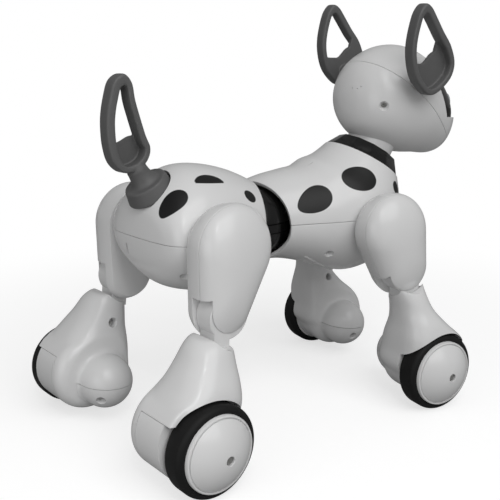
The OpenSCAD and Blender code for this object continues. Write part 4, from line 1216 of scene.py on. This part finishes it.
def foot_form(front):
    """Shin, drum and gear housing as one blended form."""
    stations = SHIN_FOOT + SHIN_TOPS[front]
    rows = (len(stations) - 1) * SHIN_STEPS
    shin = skin_of([shin_ring(along(stations, i / SHIN_STEPS)) for i in range(rows + 1)], True, True)
    shin = combined(
        as_mesh(shin), "DIFFERENCE", block((-FAR, -FAR, -FAR), (FAR, -BOOT_IN, 2 * FAR)),
        knee_space(front, -KNEE_LIP))
    drum_r = DRUM_R + MELT
    drum_profile = [(0, -BOOT_IN)]
    for turn in quarter_turn(DRUM_STEPS):
        radius = drum_r - DRUM_ROUND * (1 - math.sin(turn))
        drum_profile.append((radius, -BOOT_IN + DRUM_ROUND * (1 - math.cos(turn))))
    drum_end = wheel_face(front) + DRUM_OVERLAP
    drum_profile += [(drum_r, drum_end), (0, drum_end)]
    gear_r = GEAR_R + MELT
    gear_profile = [(r, z) for r, z in ball_profile(gear_r) if z <= 0]
    gear_profile += [(gear_r, GEAR_OVERLAP), (0, GEAR_OVERLAP)]
    form = bmesh.new()
    form.from_mesh(shin)
    bpy.data.meshes.remove(shin)
    added(form, lathed(drum_profile, 96, along_y(DRUM_XS[front], DRUM_Z)),
          lathed(gear_profile, 64, along_y(FLARES[front] * GEAR_AHEAD, 0, GEAR_Y)))
    return fused(form, FOOT_VOXEL, FOOT_ROUNDS)


foot_meshes = {}
foot_wells = {}
for front in (False, True):
    face_y = wheel_face(front)
    form = with_wells(foot_form(front), SHIN_WELLS, OPEN_WELL_R, OPEN_WELL_MOUTH_R, False)
    heel = block((HEEL_X + SEAM, HEEL_IN + SEAM, -FAR), (FAR, face_y, HEEL_TOP - SEAM))
    foot_meshes[front, "heel_cap"] = combined(form.copy(), "INTERSECT", heel)
    cap = block((-FAR, -FAR, -FAR), (FAR, -BOOT_IN - SEAM, -SEAM / 2))
    gear_cap = combined(form.copy(), "INTERSECT", cap)
    facing_of_cap = CAP_SCREW_FACING[front].normalized()
    cap_wells = [(Vector((FLARES[front] * GEAR_AHEAD, GEAR_Y, 0)) + facing_of_cap * GEAR_R, facing_of_cap)]
    foot_meshes[front, "gear_cap"] = with_wells(gear_cap, cap_wells, OPEN_WELL_R, OPEN_WELL_MOUTH_R, False)
    foot_wells[front] = SHIN_WELLS + cap_wells
    arch = cylinder(ARCH_R, face_y, FAR_ASIDE)
    boot = combined(
        form, "DIFFERENCE",
        lathed(arch, 120, along_y(0, 0)),
        block((HEEL_X, HEEL_IN, -FAR), (FAR, FAR, HEEL_TOP)),
        block((-FAR, -FAR, -FAR), (FAR, -BOOT_IN, SEAM / 2)),
        knee_space(front, MOVE_GAP))
    half_w = TONGUE_W / 2
    face_r = TONGUE_R - TONGUE_CHAMFER
    edge_y = half_w - TONGUE_CHAMFER
    tongue_profile = [(0, -half_w), (face_r, -half_w), (TONGUE_R, -edge_y)]
    tongue_profile += [(TONGUE_R, edge_y), (face_r, half_w), (0, half_w)]
    tongue = lathed(tongue_profile, 96, along_y(-KNEE_BACK, KNEE_UP))
    shank = block((-KNEE_BACK - SHANK_FRONT[front], -half_w, KNEE_UP - SHANK_DOWN),
                  (-KNEE_BACK + SHANK_BACK, half_w, KNEE_UP))
    tongue = combined(as_mesh(tongue), "UNION", shank)
    skin = bmesh.new()
    skin.from_mesh(boot)
    skin.from_mesh(tongue)
    bpy.data.meshes.remove(boot)
    bpy.data.meshes.remove(tongue)
    foot_meshes[front, "boot"] = as_mesh(skin)

for name, front, side in LEGS:
    lean = Matrix.Diagonal((FLARES[front], 1, 1, 1)) @ Matrix.Rotation(math.radians(LEANS[front]), 4, "Y")
    foot = leg_side(front, side) @ Matrix.Translation((AXLES[front], 0, TYRE_R)) @ lean
    for kind in ("boot", "heel_cap", "gear_cap"):
        piece(name + "_" + kind + "_skin", foot_meshes[front, kind].copy(), foot, white_abs, name + "_foot",
              "white_plastic", name + "_" + kind)
    screws(name + "_foot_screws", foot_wells[front], foot, name + "_foot")

# Wheels: hubs moulded in white ABS, with a domed face, a raised edge and a hole for the screw of the axle,
# pressed into tyres that are moulded in black rubber.
HUB_R = 25
HUB_DOME = 11.6
DOME_R = (HUB_R ** 2 + HUB_DOME ** 2) / (2 * HUB_DOME)
DOME_STEPS = 32
HOLE_R = 3
HOLE_DEPTH = 4
HOLE_ROUND = 0.3
HOLE_DROP = 0.2
EDGE_W = 2.2
GROOVE_DEPTH = 0.9
GROOVE_RUN = (0.1, 0.5)
TYRE_ROUND = 4
TYRE_STEPS = 12

# Lip of the hub, by the distance in from its edge and the height over the groove,
# and step of the tyre down to the hub, by the distance out from the hub and the height.
HUB_LIP = [(1.5, 0.7), (1, 0.85), (0.4, 0.6), (0, -0.2)]
TYRE_STEP = [(0.9, 0), (0.5, -0.5), (0, -0.5)]

# Tyre rubber from a sandblasted mould: matt black, with dull broad highlights and a fine tooth.
tyre_rubber = surface("moulded_matt_black_rubber", "#0E0E0E", "#151515", 0.62, 14, 0.7, 0.03, 0.12, 0.25)


def dome_height(radius):
    """Height of the hub's domed face over its edge."""
    return HUB_DOME - DOME_R + math.sqrt(DOME_R ** 2 - radius ** 2)


hole_floor = HUB_DOME - HOLE_DEPTH
dome_from = HOLE_R + HOLE_ROUND
dome_to = HUB_R - EDGE_W
hub_profile = [(0, hole_floor), (HOLE_R, hole_floor), (HOLE_R, dome_height(HOLE_R) - HOLE_DROP)]
for t in shares(DOME_STEPS):
    radius = dome_from + (dome_to - dome_from) * t
    hub_profile.append((radius, dome_height(radius)))
groove = dome_height(dome_to) - GROOVE_DEPTH
hub_profile += [(dome_to + run, groove) for run in GROOVE_RUN]
hub_profile += [(HUB_R - inward, groove + rise) for inward, rise in HUB_LIP]
hub_profile += [(HUB_R, -TYRE_W), (0, -TYRE_W)]
tyre_profile = []
for middle, start in ((-TYRE_W + TYRE_ROUND, -math.pi / 2), (-TYRE_ROUND, 0)):
    for turn in quarter_turn(TYRE_STEPS):
        radius = TYRE_R - TYRE_ROUND + TYRE_ROUND * math.cos(start + turn)
        tyre_profile.append((radius, middle + TYRE_ROUND * math.sin(start + turn)))
tyre_profile += [(HUB_R + outward, height) for outward, height in TYRE_STEP]
tyre_profile.append((HUB_R, -TYRE_W))
for name, front, side in LEGS:
    wheel = leg_side(front, side) @ Matrix.Translation((AXLES[front], HALF_TRACKS[front] - LEG_Y, TYRE_R))
    wheel = wheel @ Matrix.Rotation(-math.pi / 2, 4, "X")
    piece(name + "_wheel_hub", as_mesh(lathed(hub_profile, 128)), wheel, white_abs, name + "_wheel",
          "white_plastic", name + "_hub")
    piece(name + "_wheel_tyre", as_mesh(lathed(tyre_profile, 160)), wheel, tyre_rubber, name + "_wheel",
          "black_rubber", name + "_tyre")

# Inner pieces: turned steel axles, shafts and knee pins, pressed in, a moulded neck post and power switch,
# a circuit board and wrapped cells. They are plain or hidden, so the solids of the part stand for them.

# Switch plastic from an etched mould: dark grey and satin, so that it reads apart from the gloss shell.
switch_plastic = surface("moulded_grey_switch_plastic", "#4A4A4A", "#565656", 0.45, 8, 0.6, 0.01)

# Laminate under solder resist: an even green with a soft shine.
board_laminate = surface("coated_board_laminate", "#1E5A35", "#276B41", 0.4, 5, 0.6, 0.01)

# Shrunk film round the cells: a clear blue, smooth, with slightly wavy highlights.
cell_wrap = surface("shrunk_blue_cell_wrap", "#1F5FB0", "#2C6FC2", 0.3, 9, 1.5, 0.02)

# Nylon as it leaves the mould: a waxy mid grey with wide, weak highlights.
grey_nylon = surface("moulded_grey_nylon", "#8A8A8A", "#969696", 0.5, 10, 0.8, 0.01)
plain_nodes = {
    "rear_hip_shaft": steel, "front_hip_shaft": steel, "power_switch": switch_plastic,
    "main_board": board_laminate, "battery_pack": cell_wrap, "neck_post": grey_nylon,
}
for name, _, _ in LEGS:
    plain_nodes[name + "_axle"] = steel
    plain_nodes[name + "_knee_pin"] = steel
for name, material in plain_nodes.items():
    coat(name, material)

# Stage: a sheet of white paper under the dog, in a white room without walls.
# It keeps the soft shadow near the wheels and fades out into plain white all round.
FLOOR_SIZE = 40
FADE_FROM = 0.2
FADE_TO = 0.6
SHADOW_LIFT = 0.66
WHITE = (1, 1, 1, 1)
bpy.ops.mesh.primitive_plane_add(size=FLOOR_SIZE)
floor = bpy.context.object
floor.name = "floor"

# Matt white paper: a pale soft shadow for the camera, and a duller grey for what it throws back at the dog.
floor_paper = bpy.data.materials.new("white_paper_sweep")
floor_paper.use_nodes = True
tree = floor_paper.node_tree
tree.nodes.remove(tree.nodes["Principled BSDF"])
where = add_node(tree, "ShaderNodeTexCoord").outputs["Object"]
distance = add_node(tree, "ShaderNodeVectorMath", {0: where}, operation="LENGTH")
fade = add_node(tree, "ShaderNodeMapRange", {
    "Value": distance.outputs["Value"], "From Min": FADE_FROM, "From Max": FADE_TO},
    interpolation_type="SMOOTHSTEP")
light_path = add_node(tree, "ShaderNodeLightPath")
paper = add_node(tree, "ShaderNodeBsdfDiffuse", {"Color": linear("#A6A6A6")})
shaded = add_node(tree, "ShaderNodeBsdfDiffuse", {"Color": linear("#BCBCBC")})
lift = add_node(tree, "ShaderNodeEmission", {"Color": WHITE, "Strength": SHADOW_LIFT})
glow = add_node(tree, "ShaderNodeEmission", {"Color": WHITE, "Strength": 1})
near = add_node(tree, "ShaderNodeAddShader", {0: shaded.outputs["BSDF"], 1: lift.outputs["Emission"]})
seen = add_node(tree, "ShaderNodeMixShader", {
    "Fac": fade.outputs["Result"], 1: near.outputs["Shader"], 2: glow.outputs["Emission"]})
mix = add_node(tree, "ShaderNodeMixShader", {
    "Fac": light_path.outputs["Is Camera Ray"], 1: paper.outputs["BSDF"], 2: seen.outputs["Shader"]})
feed(tree, tree.nodes["Material Output"], {"Surface": mix.outputs["Shader"]})
floor.data.materials.append(floor_paper)

# Room: a dim even light from all round, and plain white where the camera looks past the dog.
ROOM_LIGHT = 0.28
world = bpy.data.worlds.new("white_room")
scene.world = world
world.use_nodes = True
tree = world.node_tree
light_path = add_node(tree, "ShaderNodeLightPath")
room = tree.nodes["Background"]
feed(tree, room, {"Color": WHITE, "Strength": ROOM_LIGHT})
white = add_node(tree, "ShaderNodeBackground", {"Color": WHITE, "Strength": 1})
mix = add_node(tree, "ShaderNodeMixShader", {
    "Fac": light_path.outputs["Is Camera Ray"], 1: room.outputs["Background"],
    2: white.outputs["Background"]})
feed(tree, tree.nodes["World Output"], {"Surface": mix.outputs["Shader"]})

# Lamps, by place and size in metres and power in watts: a large soft key over the dog's right side,
# a low fill behind it and a very small one for the bright points on the gloss.
LAMPS = [
    ("key", (-0.18, -0.98, 1.1), 1.25, 10.8),
    ("fill", (-0.6, -0.2, 0.16), 0.4, 0.6),
    ("spark", (-0.5, -0.7, 0.95), 0.06, 0.45),
]
LAMP_TARGET = Vector((0, 0, 0.13))
for name, place, size, power in LAMPS:
    lamp = bpy.data.lights.new(name, "AREA")
    lamp.energy = power
    lamp.size = size
    light = bpy.data.objects.new(name, lamp)
    light.location = place
    light.rotation_euler = (LAMP_TARGET - Vector(place)).to_track_quat("-Z", "Y").to_euler()
    scene.collection.objects.link(light)

# Camera: behind the dog and to its right, at the place and with the lens that meet the photo.
SENSOR_W = 36
FOCAL_LENGTH = 52.66
CLIP_START = 0.01
CAMERA_AT = Vector((-244.77, -414.38, 254.22))
CAMERA_TARGET = Vector((109.57, 0, 120.57))
camera_data = bpy.data.cameras.new("camera")
camera_data.sensor_width = SENSOR_W
camera_data.lens = FOCAL_LENGTH
camera_data.clip_start = CLIP_START
camera = bpy.data.objects.new("camera", camera_data)
camera.location = DOG @ CAMERA_AT * MM
camera.rotation_euler = (CAMERA_TARGET - CAMERA_AT).to_track_quat("-Z", "Y").to_euler()
scene.collection.objects.link(camera)
scene.camera = camera
scene.view_settings.view_transform = "Standard"
